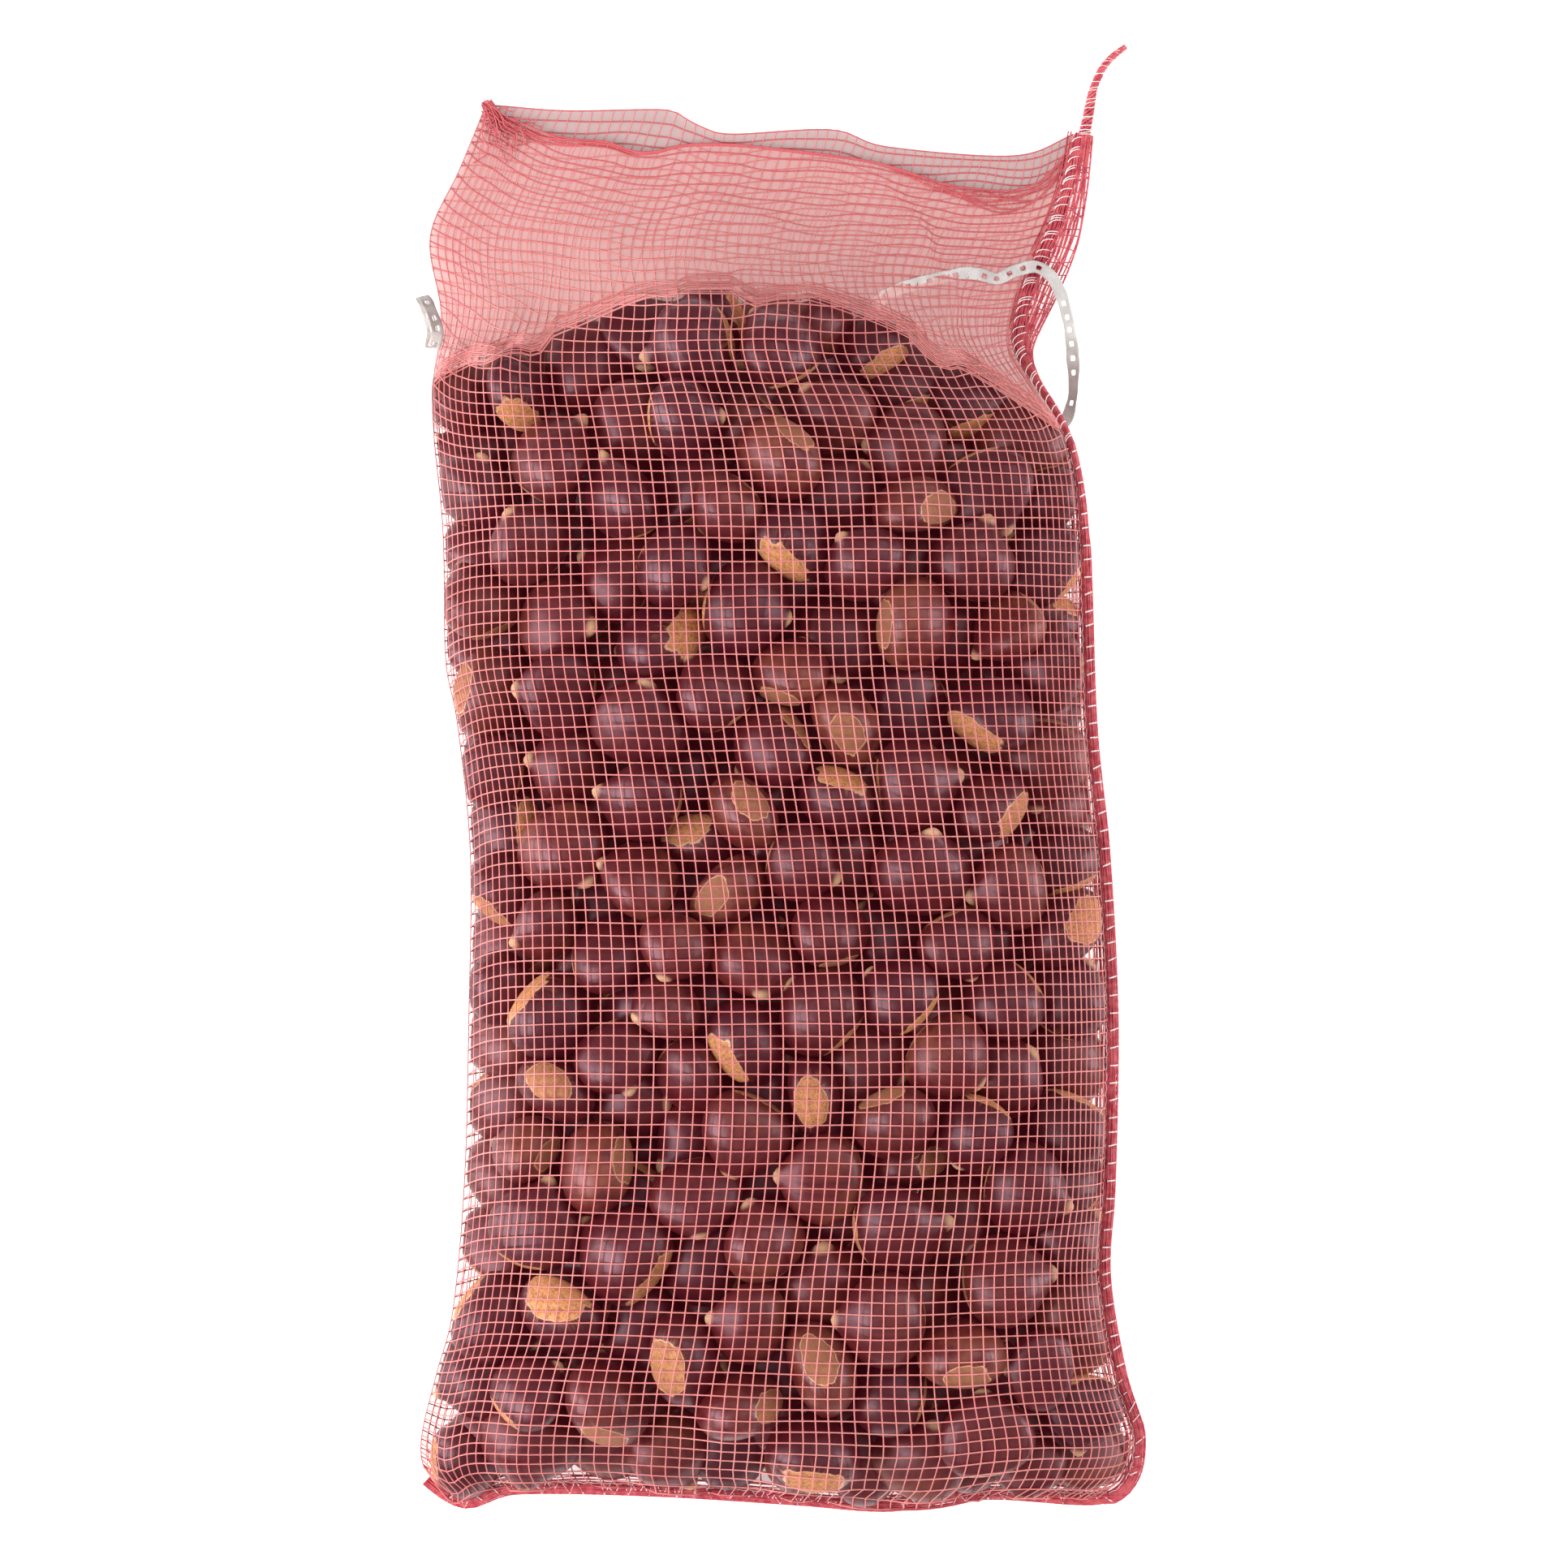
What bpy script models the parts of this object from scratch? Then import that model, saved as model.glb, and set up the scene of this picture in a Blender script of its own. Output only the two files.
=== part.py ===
"""Net bag of sweet chestnuts, lying on its back.

A bag of woven net, folded on its left side and overlocked along its right side and its bottom,
holds a heap of chestnuts about three deep. Above the heap the empty collar lies flat, and the
drawstring in its hem comes out as a long loop on the right and a short one on the left.

Lengths here are millimetres, and the objects are built in metres. +X points right, +Y to the
bag's mouth and +Z up. The origin is at the middle of the bag, on the surface it lies on.
"""
import math

import bmesh
import bpy
import numpy as np
from mathutils import Matrix, Vector

MM = 0.001

# The bag from above. Sides are (y, x), from the bottom seam up; ends are (x, y), from the left.
FOLDED_SIDE = [(-246, -118), (-239, -124.2), (-227, -124.8), (-205, -119.3), (-183, -113.5),
               (-138, -109.5), (-82, -108), (-26, -107.5), (19, -112), (41, -116), (86, -117),
               (131, -121.3), (160, -118.7), (187, -123), (209, -113.4), (234, -103)]
STITCH_LINE = [(-248, 109), (-244, 116), (-236, 120.3), (-227, 121), (-205, 114), (-171, 108.4),
               (-138, 110.1), (-82, 111), (-26, 108.2), (19, 103.8), (86, 101.7), (111, 98.8),
               (125, 93.8), (137, 86.6), (151, 80.4), (172, 84.6), (188, 91.6), (205, 97.7),
               (224, 102)]
BOTTOM_SEAM = [(-124, -240), (-110, -249.3), (-93, -244.2), (-46, -244.8), (4, -248),
               (37, -250.3), (70, -246), (104, -248), (118, -246), (121, -240)]
HEAP_TOP = [(-119, 136), (-102, 144), (-74, 153), (-46, 164), (-18, 166), (4, 165), (38, 154),
            (66, 138), (94, 119), (122, 100)]
BACK_HEM = [(-103, 234), (-40, 232), (-18, 223.5), (14, 225), (32, 219), (76, 216), (102, 224)]
FRONT_HEM = [(-103, 233), (-79, 225), (-41, 217), (-2, 219), (32, 214), (58, 205.5), (85, 205.5),
             (102, 222)]

# Heights. The net's edge, as (y, z), runs at half height beside the heap and low at both ends.
EDGE_HEIGHT = [(-250, 7), (-232, 14), (-205, 23), (-160, 27), (85, 27), (118, 20), (140, 9),
               (160, 3.5), (240, 2)]
BAG_THICKNESS = 70
HEAP_MIDDLE = 28
CROWN = 2.4
BELLY = 5
END_CAP = 6
WALL = 0.25
FLAT_BELOW = 1.6
TOUCHED = 0.1
NET_OFFSET = 0.8
LAYER_GAP = 1.6
NET_WEIGHT = 0.18
COLLAR_WEIGHT = 0.3

# The overlocked band: its width along the sewn side as (y, width), then along the bottom.
BAND_WIDTH = [(-250, 4), (40, 3.8), (86, 3), (111, 2.2), (137, 2.4), (151, 7), (172, 11.6),
              (188, 11), (205, 8), (224, 5.6)]
BOTTOM_BAND_WIDTH = 4
BAND_THICKNESS = 2
SEAM_TAIL = [(106.4, 232.3, 4.2), (107.6, 238.6, 3.4), (109.4, 243.4, 3), (111.6, 247.4, 2.6),
             (115, 251, 2.2), (119, 254, 1.5)]
CLEARANCE = 0.4

# The drawstring's two loops, as points along its middle line.
STRING_DIAMETER = 3.6
RIGHT_LOOP = [(29, 158, 28), (33, 164, 21), (39, 168, 15.5), (48, 171, 11.5), (57, 173.5, 8.5),
              (66, 174.7, 6.6), (74, 173, 5.8), (81, 176, 6), (88, 177, 6.6), (93.5, 173, 6.8),
              (97.2, 165, 6), (99.7, 154, 4.2), (100.8, 143, 3), (100.6, 133, 3), (98.6, 123, 4)]
LEFT_LOOP = [(-122.4, 149, 4.5), (-121.9, 154, 3), (-122.6, 159, 2.8), (-124, 163.8, 4.4),
             (-124.9, 166.4, 8.6), (-124.2, 163.8, 12.8), (-122.8, 159, 14), (-122, 154, 13.4),
             (-122.3, 149, 12)]

# A chestnut is wider than it is tall from scar to tip, and flattened the other way.
NUT_RADII = (15.4, 11, 14.2)
NUT_SPREAD = 0.08
NUT_PITCH = (27.5, 25)
NUT_MARGIN = 0.8
SETTLE_ROUNDS = 320
HELD_ROUNDS = 270
SETTLE_BIAS = 0.12
SEED = 5

# Chestnuts whose pale scar shows: the scar's x and y, the way it points from the nut's middle,
# how far it turns up from the side, both in degrees, and the roll about the scar's axis.
SCARS = [(5, 109, 60, 35, 20), (58, 89, 0, 40, 80), (31, 49, 180, 30, 10), (26, 15, -60, 75, 60),
         (-38, -16, 135, 55, 40), (-11, -17, 60, 62, 20), (-23, -41, 205, 60, 70),
         (-84, -99, 120, 70, 30), (8, -110, -100, 78, 80), (35, -111, 120, 25, 20),
         (-50, -129, 15, 40, 30), (-76, -175, 115, 55, 60), (-41, -194, 205, 60, 20),
         (12, -191, 95, 66, 70), (53, -132, 0, 35, 80), (63, -197, -80, 50, 10),
         (78, -15, -20, 28, 40), (-85, 117, -95, 30, 60), (50, 128, -60, 30, 30),
         (1, -213, 10, 30, 75), (6, -233, -90, 35, 15), (-60, -213, -90, 30, 50),
         (-32, 44, 10, 32, 70), (-1, 72, -120, 30, 25), (99, -48, 20, 45, 65)]

COLUMNS = 39
ROWS = 76


def smooth_line(points, step):
    """Evenly spaced points on a smooth curve through the given ones."""
    points = np.asarray(points, float)
    ends = np.vstack([2 * points[0] - points[1], points, 2 * points[-1] - points[-2]])
    t = np.linspace(0, 1, 24, endpoint=False)[:, None]
    spans = [(2 * b + (c - a) * t + (2 * a - 5 * b + 4 * c - d) * t**2
              + (3 * b - a - 3 * c + d) * t**3) / 2
             for a, b, c, d in zip(ends, ends[1:], ends[2:], ends[3:])]
    fine = np.vstack(spans + [points[-1:]])
    travelled = np.append(0, np.cumsum(np.linalg.norm(np.diff(fine, axis=0), axis=1)))
    marks = np.linspace(0, travelled[-1], max(2, round(travelled[-1] / step) + 1))
    return np.column_stack([np.interp(marks, travelled, column) for column in fine.T])


def along(points):
    """The smooth line through (a, b) points, as a function that gives b for a."""
    line = smooth_line(points, 1.0)
    return lambda a: np.interp(a, line[:, 0], line[:, 1])


folded_side = along(FOLDED_SIDE)
stitch_line = along(STITCH_LINE)
bottom_seam = along(BOTTOM_SEAM)
heap_top = along(HEAP_TOP)
back_hem = along(BACK_HEM)
front_hem = along(FRONT_HEM)
edge_height = along(EDGE_HEIGHT)
band_width = along(BAND_WIDTH)


def place_in_heap(centre, reach):
    """Clamp the nuts' middles inside the bag, and give the lowest and highest z for each."""
    x, y = centre[:, 0], centre[:, 1]
    low = bottom_seam(x) + NUT_MARGIN + 2 + reach[:, 1]
    high = heap_top(x) - reach[:, 1]
    y = centre[:, 1] = np.clip(y, low, high)
    corner = 2.5 * np.clip((-195 - y) / 35, 0, 1)
    left = folded_side(y) + NUT_MARGIN + corner + reach[:, 0]
    right = stitch_line(y) - NUT_MARGIN - corner - reach[:, 0]
    x = centre[:, 0] = np.clip(x, left, right)
    across = np.abs(2 * (x - left) / (right - left) - 1)
    lengthwise = np.abs(2 * (y - low) / (high - low) - 1)
    middle = HEAP_MIDDLE * (1 - 0.5 * lengthwise**6)
    cap = (1 - lengthwise**END_CAP) ** (1 / END_CAP)
    rise = np.maximum((1 - across**CROWN) ** (1 / CROWN) * cap, WALL)
    drop = np.maximum((1 - across**BELLY) ** (1 / BELLY) * cap, WALL)
    return (middle - (middle - reach[:, 2] - NET_OFFSET) * drop,
            middle + (BAG_THICKNESS - NET_OFFSET - reach[:, 2] - middle) * rise)


def turned(scar, roll):
    """A nut's own axes as rows: its width, its thickness, and from the scar to the tip."""
    up = -scar / np.linalg.norm(scar)
    side = np.cross(up, (0, 0, 1) if abs(up[2]) < 0.9 else (0, 1, 0))
    side /= np.linalg.norm(side)
    flat = np.cross(up, side)
    return np.array([side * math.cos(roll) + flat * math.sin(roll),
                     flat * math.cos(roll) - side * math.sin(roll), up])


def settled_nuts():
    """Middles, axes and radii of all the nuts: a top, a bottom and a middle layer."""
    rng = np.random.default_rng(SEED)
    centre, axes, layer, pinned = [], [], [], []
    for x, y, heading, lift, roll in SCARS:
        heading, lift = math.radians(heading), math.radians(lift)
        scar = np.array([math.cos(heading) * math.cos(lift), math.sin(heading) * math.cos(lift),
                         math.sin(lift)])
        centre.append([x - 12 * scar[0], y - 12 * scar[1], 55])
        axes.append(turned(scar, math.radians(roll)))
        layer.append(1)
        pinned.append(True)
    for level in (1, -1, 0):
        for row, y in enumerate(np.arange(-232, 160, NUT_PITCH[1])):
            for x in np.arange(-112 + (row + level) % 2 * NUT_PITCH[0] / 2, 114, NUT_PITCH[0]):
                x_nut, y_nut = np.array([x, y]) + rng.normal(0, 2.5, 2)
                heading, tilt = rng.uniform(0, 2 * math.pi), rng.normal(0, 0.35)
                scar = np.array([math.cos(heading), math.sin(heading), math.sin(tilt)])
                roll = rng.normal(0, 0.4)
                shoulder = 12 if level == 1 else 18
                inside = (folded_side(y) + shoulder < x < stitch_line(y) - shoulder
                          and bottom_seam(x) + shoulder < y < heap_top(x) - shoulder)
                taken = level == 1 and any(math.hypot(x_nut - c[0], y_nut - c[1]) < 21
                                           for c in centre[:len(SCARS)])
                if inside and not taken:
                    centre.append([x_nut, y_nut, 35 + 22 * level])
                    axes.append(turned(scar, roll))
                    layer.append(level)
                    pinned.append(False)
    centre, axes = np.array(centre, float), np.array(axes)
    layer, pinned = np.array(layer), np.array(pinned)
    radii = np.array(NUT_RADII) * rng.normal(1, NUT_SPREAD, (len(centre), 1)).clip(0.84, 1.14)
    form = np.einsum("nia,ni,nib->nab", axes, radii**2, axes)
    inverse = np.linalg.inv(form)
    reach = np.sqrt(np.einsum("naa->na", form))
    sink = rng.uniform(0, 4, len(centre))
    for turn in range(SETTLE_ROUNDS):
        apart = centre[:, None] - centre[None]
        distance = np.linalg.norm(apart, axis=2) + 1e-6
        way = apart / distance[..., None]
        widest = np.sqrt((way @ form * way).sum(2))
        straight = 1 / np.sqrt((way @ inverse * way).sum(2) + 1e-9)
        size = (widest + straight) / 2
        overlap = np.clip(size + size.T - distance, 0, None)
        np.fill_diagonal(overlap, 0)
        push = 0.35 * (overlap[..., None] * way).sum(1)
        push[pinned, :2] *= 0 if turn < HELD_ROUNDS else 0.3
        centre += push
        centre[:, 2] += SETTLE_BIAS * layer
        lowest, highest = place_in_heap(centre, reach)
        centre[:, 2] = np.clip(centre[:, 2], lowest, np.maximum(highest - sink, lowest))
    return centre, axes, radii


def nut_heights(x, y, centre, axes, radii, side):
    """The heap's upper (side 1) or lower (side -1) surface over points x, y, far off if none.

    The steep rim of each nut, which the net doesn't touch, is left out.
    """
    height = np.full(x.shape, -900.0 * side)
    for middle, frame, radius in zip(centre, axes, radii):
        form = frame.T @ np.diag(radius**-2.0) @ frame
        dx, dy = x - middle[0], y - middle[1]
        b = form[0, 2] * dx + form[1, 2] * dy
        c = form[0, 0] * dx**2 + 2 * form[0, 1] * dx * dy + form[1, 1] * dy**2 - 1
        root = b**2 - form[2, 2] * c
        hit = root > TOUCHED * form[2, 2]
        z = middle[2] + (side * np.sqrt(np.where(hit, root, 0)) - b) / form[2, 2]
        height = np.where(hit, side * np.maximum(side * height, side * z), height)
    return height


def stretched_net():
    """The bag's front and back as heights over one grid that follows the bag's outline."""
    across = (1 - np.cos(np.linspace(0, math.pi, COLUMNS))) / 2
    across = 0.5 * across + 0.5 * np.linspace(0, 1, COLUMNS)
    up = np.linspace(0, 1, ROWS)[:, None]
    x = folded_side(0) + (stitch_line(0) - folded_side(0)) * across + 0 * up
    for _ in range(6):
        y = bottom_seam(x) * (1 - up) + back_hem(x) * up
        x = folded_side(y) + (stitch_line(y) - folded_side(y)) * across
    centre, axes, radii = settled_nuts()
    upper = nut_heights(x, y, centre, axes, radii, 1) + NET_OFFSET
    lower = nut_heights(x, y, centre, axes, radii, -1) - NET_OFFSET
    edge = edge_height(y)
    back, front = edge.copy(), edge.copy()
    inner = (slice(1, -1), slice(1, -1))

    weight = np.where(y > heap_top(x), COLLAR_WEIGHT, NET_WEIGHT)[inner]

    def relax(z, limit):
        spread = (z[2:, 1:-1] + z[:-2, 1:-1] + z[1:-1, 2:] + z[1:-1, :-2]) / 4
        z[inner] = limit(spread - weight)

    for _ in range(900):
        relax(back, lambda z: np.maximum(np.minimum(z, lower[inner]), 0))
    back[inner] = np.where(back < FLAT_BELOW, 0, back)[inner]
    floor = np.maximum(upper, back + LAYER_GAP)
    for _ in range(900):
        relax(front, lambda z: np.maximum(z, floor[inner]))
    past_hem = y > front_hem(x)
    front[inner] = np.where(past_hem, back + LAYER_GAP / 2, front)[inner]
    return x, y, front, back


def paint(thing, name, colour, roughness):
    """Give the object its own Principled material."""
    material = bpy.data.materials.new(name)
    material.use_nodes = True
    shader = material.node_tree.nodes["Principled BSDF"]
    shader.inputs["Base Color"].default_value = (*colour, 1)
    shader.inputs["Roughness"].default_value = roughness
    shader.inputs["Metallic"].default_value = 0
    thing.data.materials.append(material)


def add_mesh(name, shape):
    """Put a bmesh that is in millimetres into the scene."""
    bmesh.ops.transform(shape, matrix=Matrix.Scale(MM, 4), verts=shape.verts)
    mesh = bpy.data.meshes.new(name)
    shape.to_mesh(mesh)
    shape.free()
    mesh.shade_smooth()
    thing = bpy.data.objects.new(name, mesh)
    bpy.context.collection.objects.link(thing)
    return thing


def make_bag():
    """The net drawn tight over the nuts, with its empty collar, as one closed form."""
    x, y, front, back = stretched_net()
    shape = bmesh.new()
    bmesh.ops.create_grid(shape, x_segments=COLUMNS - 1, y_segments=ROWS - 1, size=1)
    bmesh.ops.triangulate(shape, faces=shape.faces[:], quad_method="FIXED")
    lone_corners = [v for v in shape.verts if len(v.link_faces) == 1]
    bmesh.ops.delete(shape, geom=lone_corners, context="VERTS")
    column_of = {v: round((v.co.x + 1) / 2 * (COLUMNS - 1)) for v in shape.verts}
    row_of = {v: round((v.co.y + 1) / 2 * (ROWS - 1)) for v in shape.verts}
    copy = bmesh.ops.duplicate(shape, geom=shape.verts[:] + shape.edges[:] + shape.faces[:])
    for original in list(column_of):
        twin = copy["vert_map"][original]
        row, column = row_of[original], column_of[original]
        original.co = (x[row, column], y[row, column], front[row, column])
        twin.co = (x[row, column], y[row, column], back[row, column])
    behind = [piece for piece in copy["geom"] if isinstance(piece, bmesh.types.BMFace)]
    bmesh.ops.reverse_faces(shape, faces=behind)
    rim = [v for v in shape.verts if v.is_boundary]
    bmesh.ops.remove_doubles(shape, verts=rim, dist=0.01)
    bag = add_mesh("net_of_chestnuts", shape)
    paint(bag, "red net over chestnuts", (0.22, 0.05, 0.05), 0.55)
    return bag


def make_seam():
    """The overlocked band: the twisted tail, down the sewn side, round the corner, to the left."""
    side = smooth_line([(stitch_line(y), y) for y in np.arange(226, -232, -6)], 5)
    end = smooth_line([(x, bottom_seam(x)) for x in np.arange(112, -122, -6)], 5)
    corner = [(121, -233), (120, -239.5), (117, -245), (112.5, -248.2)]
    edge = smooth_line(np.vstack([side, corner, end]), 5.5)
    heading = np.gradient(edge, axis=0)
    heading /= np.linalg.norm(heading, axis=1)[:, None]
    outward = np.column_stack([-heading[:, 1], heading[:, 0]])
    width = np.where(edge[:, 1] > -235, band_width(edge[:, 1]), BOTTOM_BAND_WIDTH)
    middle = edge + outward * (CLEARANCE + width / 2)[:, None]
    height = np.maximum(edge_height(edge[:, 1]), BAND_THICKNESS / 2 + 0.4)
    tail = np.array(SEAM_TAIL)[::-1]
    middle = np.vstack([tail[:, :2], middle])
    width = np.append(tail[:, 2], width)
    height = np.append(np.full(len(tail), BAND_THICKNESS / 2 + 0.5), height)
    path = np.column_stack([middle, height])
    shape = bmesh.new()
    bmesh.ops.create_circle(shape, cap_ends=True, segments=6, radius=1)
    tip, previous = shape.faces[:], Matrix.Identity(4)
    for index, point in enumerate(path):
        ahead = Vector(path[min(index + 1, len(path) - 1)] - path[max(index - 1, 0)])
        ahead.normalize()
        beside = ahead.cross((0, 0, 1)).normalized()
        above = beside.cross(ahead)
        station = Matrix((beside * width[index] / 2, above * BAND_THICKNESS / 2, ahead)).transposed()
        station = Matrix.Translation(point) @ station.to_4x4()
        if index:
            grown = bmesh.ops.extrude_face_region(shape, geom=tip)["geom"]
            if index > 1:
                bmesh.ops.delete(shape, geom=tip, context="FACES_ONLY")
            tip = [piece for piece in grown if isinstance(piece, bmesh.types.BMFace)]
        carried = {corner for face in tip for corner in face.verts}
        bmesh.ops.transform(shape, matrix=station @ previous.inverted(), verts=list(carried))
        previous = station
    bmesh.ops.recalc_face_normals(shape, faces=shape.faces)
    seam = add_mesh("overlock_seam", shape)
    paint(seam, "crimson overlocking", (0.45, 0.04, 0.06), 0.6)
    return seam


def make_string(name, route):
    """One loop of the drawstring, as a tube along its route."""
    data = bpy.data.curves.new(name, "CURVE")
    data.dimensions = "3D"
    data.bevel_depth = STRING_DIAMETER / 2 * MM
    data.bevel_resolution = 2
    data.use_fill_caps = True
    data.render_resolution_u = 0
    points = smooth_line(route, STRING_DIAMETER * 1.6) * MM
    spline = data.splines.new("POLY")
    spline.points.add(len(points) - 1)
    for point, place in zip(spline.points, points):
        point.co = (*place, 1)
    thing = bpy.data.objects.new(name, data)
    bpy.context.collection.objects.link(thing)
    paint(thing, name + " white tape", (0.75, 0.72, 0.7), 0.7)
    return thing


for old in list(bpy.data.objects):
    bpy.data.objects.remove(old, do_unlink=True)
make_bag()
make_seam()
make_string("drawstring_loop", RIGHT_LOOP)
make_string("drawstring_end", LEFT_LOOP)
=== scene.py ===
"""A red net bag of sweet chestnuts, lying on its back.

Lengths are millimetres while a piece is made, and each finished piece is scaled to metres.
+X points to the sewn side, +Y to the bag's mouth and +Z up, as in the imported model.
"""
import math

import bmesh
import bpy
import numpy as np
from mathutils import Matrix, Vector


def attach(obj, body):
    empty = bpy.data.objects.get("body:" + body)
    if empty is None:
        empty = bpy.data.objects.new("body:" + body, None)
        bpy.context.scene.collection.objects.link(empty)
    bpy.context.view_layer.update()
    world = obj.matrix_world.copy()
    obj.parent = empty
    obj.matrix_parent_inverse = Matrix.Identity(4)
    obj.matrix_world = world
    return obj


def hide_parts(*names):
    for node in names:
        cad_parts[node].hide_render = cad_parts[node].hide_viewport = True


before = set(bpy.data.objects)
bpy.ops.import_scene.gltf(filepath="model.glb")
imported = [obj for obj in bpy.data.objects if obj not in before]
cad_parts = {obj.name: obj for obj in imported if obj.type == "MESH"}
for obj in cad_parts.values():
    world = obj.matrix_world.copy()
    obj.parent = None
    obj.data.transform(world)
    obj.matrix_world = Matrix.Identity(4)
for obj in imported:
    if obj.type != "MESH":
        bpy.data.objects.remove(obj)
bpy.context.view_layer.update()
MM = 0.001


def placed(name, data):
    """A new object, linked to the scene."""
    made = bpy.data.objects.new(name, data)
    bpy.context.collection.objects.link(made)
    return made


# The view
# The bag lies on a white table and is seen from straight above, its mouth at the top. A long lens
# from far off keeps the outline of the heap and of the flat collar at one scale.
PICTURE_PIXELS = 1932
MM_PER_PIXEL = 0.28
PIXEL_OF_ORIGIN = (965, 958)
LENS, SENSOR = 150, 36
SCALED_HEIGHT = 18

camera_data = bpy.data.cameras.new("camera")
camera_data.lens, camera_data.sensor_width = LENS, SENSOR
camera_data.clip_end = 20
camera = placed("camera", camera_data)
camera.location = Vector(((PICTURE_PIXELS / 2 - PIXEL_OF_ORIGIN[0]) * MM_PER_PIXEL,
                          (PIXEL_OF_ORIGIN[1] - PICTURE_PIXELS / 2) * MM_PER_PIXEL,
                          PICTURE_PIXELS * MM_PER_PIXEL * LENS / SENSOR + SCALED_HEIGHT)) * MM
bpy.context.scene.camera = camera
bpy.context.scene.view_settings.view_transform = "Standard"


# The drawstring
# A flat white knitted tape with a row of small eyelets, run through the net's hem. It comes out as
# a long loop over the sewn side and as a short doubled end by the fold, and goes back in.
TAPE_WIDTH, TAPE_THICKNESS = 4.6, 0.7
EYELET_PITCH, EYELET_HALF_WIDTH, EYELET_CELLS, CLOSED_EYELETS = 5.0, 0.3, (2, 3, 4), 0.25
CELLS_PER_EYELET, CELLS_ACROSS = 8, 6
POINTS_A_SPAN = 24
RIGHT_LOOP = [(29, 158, 30), (33, 164, 25), (39, 168, 19.5), (48, 171, 14.5), (57, 173.5, 10.5),
              (66, 174.7, 8), (74, 173, 6.6), (81, 176, 6.4), (88, 177, 6.8), (93.5, 173, 6.8),
              (97.2, 165, 6), (99.7, 154, 4.2), (100.8, 143, 3), (100.6, 133, 3), (98.6, 125, 4),
              (95, 121, 5)]
LEFT_LOOP = [(-122.4, 149, 4.5), (-121.9, 154, 3), (-122.9, 159, 2.8), (-124.4, 163.8, 4.4),
             (-125.2, 166.8, 8.6), (-123, 164.2, 12.8), (-120.8, 159, 14), (-119.4, 154, 13.4),
             (-121, 148.6, 12)]


class Wire:
    """One socket of a material. Sums on wires add the Math nodes that they stand for."""

    def __init__(self, tree, socket=None):
        self.tree, self.socket = tree, socket

    def fill(self, node, sockets):
        """Give a node's sockets their values or links."""
        for name, value in sockets.items():
            if isinstance(value, Wire):
                self.tree.links.new(value.socket, node.inputs[name])
            else:
                node.inputs[name].default_value = value

    def node(self, kind, settings=None, sockets=None, output=0):
        """Add a node: its settings first, a ramp's stops among them, then its sockets."""
        made = self.tree.nodes.new(kind)
        for name, value in (settings or {}).items():
            if name == "stops":
                ramp = made.color_ramp.elements
                for index, (place, colour) in enumerate(value):
                    stop = ramp[index] if index < 2 else ramp.new(place)
                    stop.position, stop.color = place, (*colour, 1)
            else:
                setattr(made, name, value)
        self.fill(made, sockets or {})
        return Wire(self.tree, made.outputs[output])

    def maths(self, operation, *values):
        return self.node("ShaderNodeMath", {"operation": operation}, dict(enumerate(values)))

    def step(self, low, high):
        """0 below low and 1 above high, smoothly."""
        return self.node("ShaderNodeMapRange", {"interpolation_type": "SMOOTHSTEP"},
                         {"Value": self, "From Min": low, "From Max": high})

    def mixed(self, first, second):
        """The first colour where this wire is 0, the second where it is 1."""
        return self.node("ShaderNodeMix", {"data_type": "RGBA"}, {0: self, 6: first, 7: second}, 2)

    def noise(self, scale, detail=2.0, roughness=0.5):
        """Cloudy noise, with this wire as its place."""
        return self.node("ShaderNodeTexNoise", {}, {"Vector": self, "Scale": scale,
                                                    "Detail": detail, "Roughness": roughness})

    def relief(self, strength, distance):
        """A bumped normal, with this wire as its height."""
        return self.node("ShaderNodeBump", {}, {"Height": self, "Strength": strength,
                                                "Distance": distance})

    def __add__(self, other):
        return self.maths("ADD", self, other)

    def __mul__(self, other):
        return self.maths("MULTIPLY", self, other)

    def __sub__(self, other):
        return self.maths("SUBTRACT", self, other)

    def __rsub__(self, other):
        return self.maths("SUBTRACT", other, self)

    def __truediv__(self, other):
        return self.maths("DIVIDE", self, other)

    def __pow__(self, other):
        return self.maths("POWER", self, other)

    __radd__, __rmul__ = __add__, __mul__


def linear(red, green, blue):
    """A colour as seen, 0 to 255, in the shader's linear values."""
    return (*((np.array([red, green, blue]) / 255) ** 2.2).tolist(), 1)


def new_finish(name):
    """A material, its Principled shader, and a wire to build on."""
    material = bpy.data.materials.new(name)
    material.use_nodes = True
    return material, material.node_tree.nodes["Principled BSDF"], Wire(material.node_tree)


def unit(rows):
    """Each row at length 1."""
    return rows / np.linalg.norm(rows, axis=1)[:, None]


def run_along(line):
    """How far along a line each of its points is."""
    return np.append(0, np.cumsum(np.linalg.norm(np.diff(line, axis=0), axis=1)))


def smooth_line(points, step):
    """Evenly spaced points on a smooth curve through the given ones."""
    points = np.asarray(points, float)
    ends = np.vstack([2 * points[0] - points[1], points, 2 * points[-1] - points[-2]])
    t = np.linspace(0, 1, POINTS_A_SPAN, endpoint=False)[:, None]
    spans = [(2 * b + (c - a) * t + (2 * a - 5 * b + 4 * c - d) * t**2
              + (3 * b - a - 3 * c + d) * t**3) / 2
             for a, b, c, d in zip(ends, ends[1:], ends[2:], ends[3:])]
    fine = np.vstack(spans + [points[-1:]])
    travelled = run_along(fine)
    marks = np.linspace(0, travelled[-1], max(2, round(travelled[-1] / step) + 1))
    return np.column_stack([np.interp(marks, travelled, column) for column in fine.T])


def along(points):
    """The smooth line through (a, b) points, as a function that gives b for a."""
    line = smooth_line(points, 1.0)
    return lambda a: np.interp(a, line[:, 0], line[:, 1])


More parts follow.
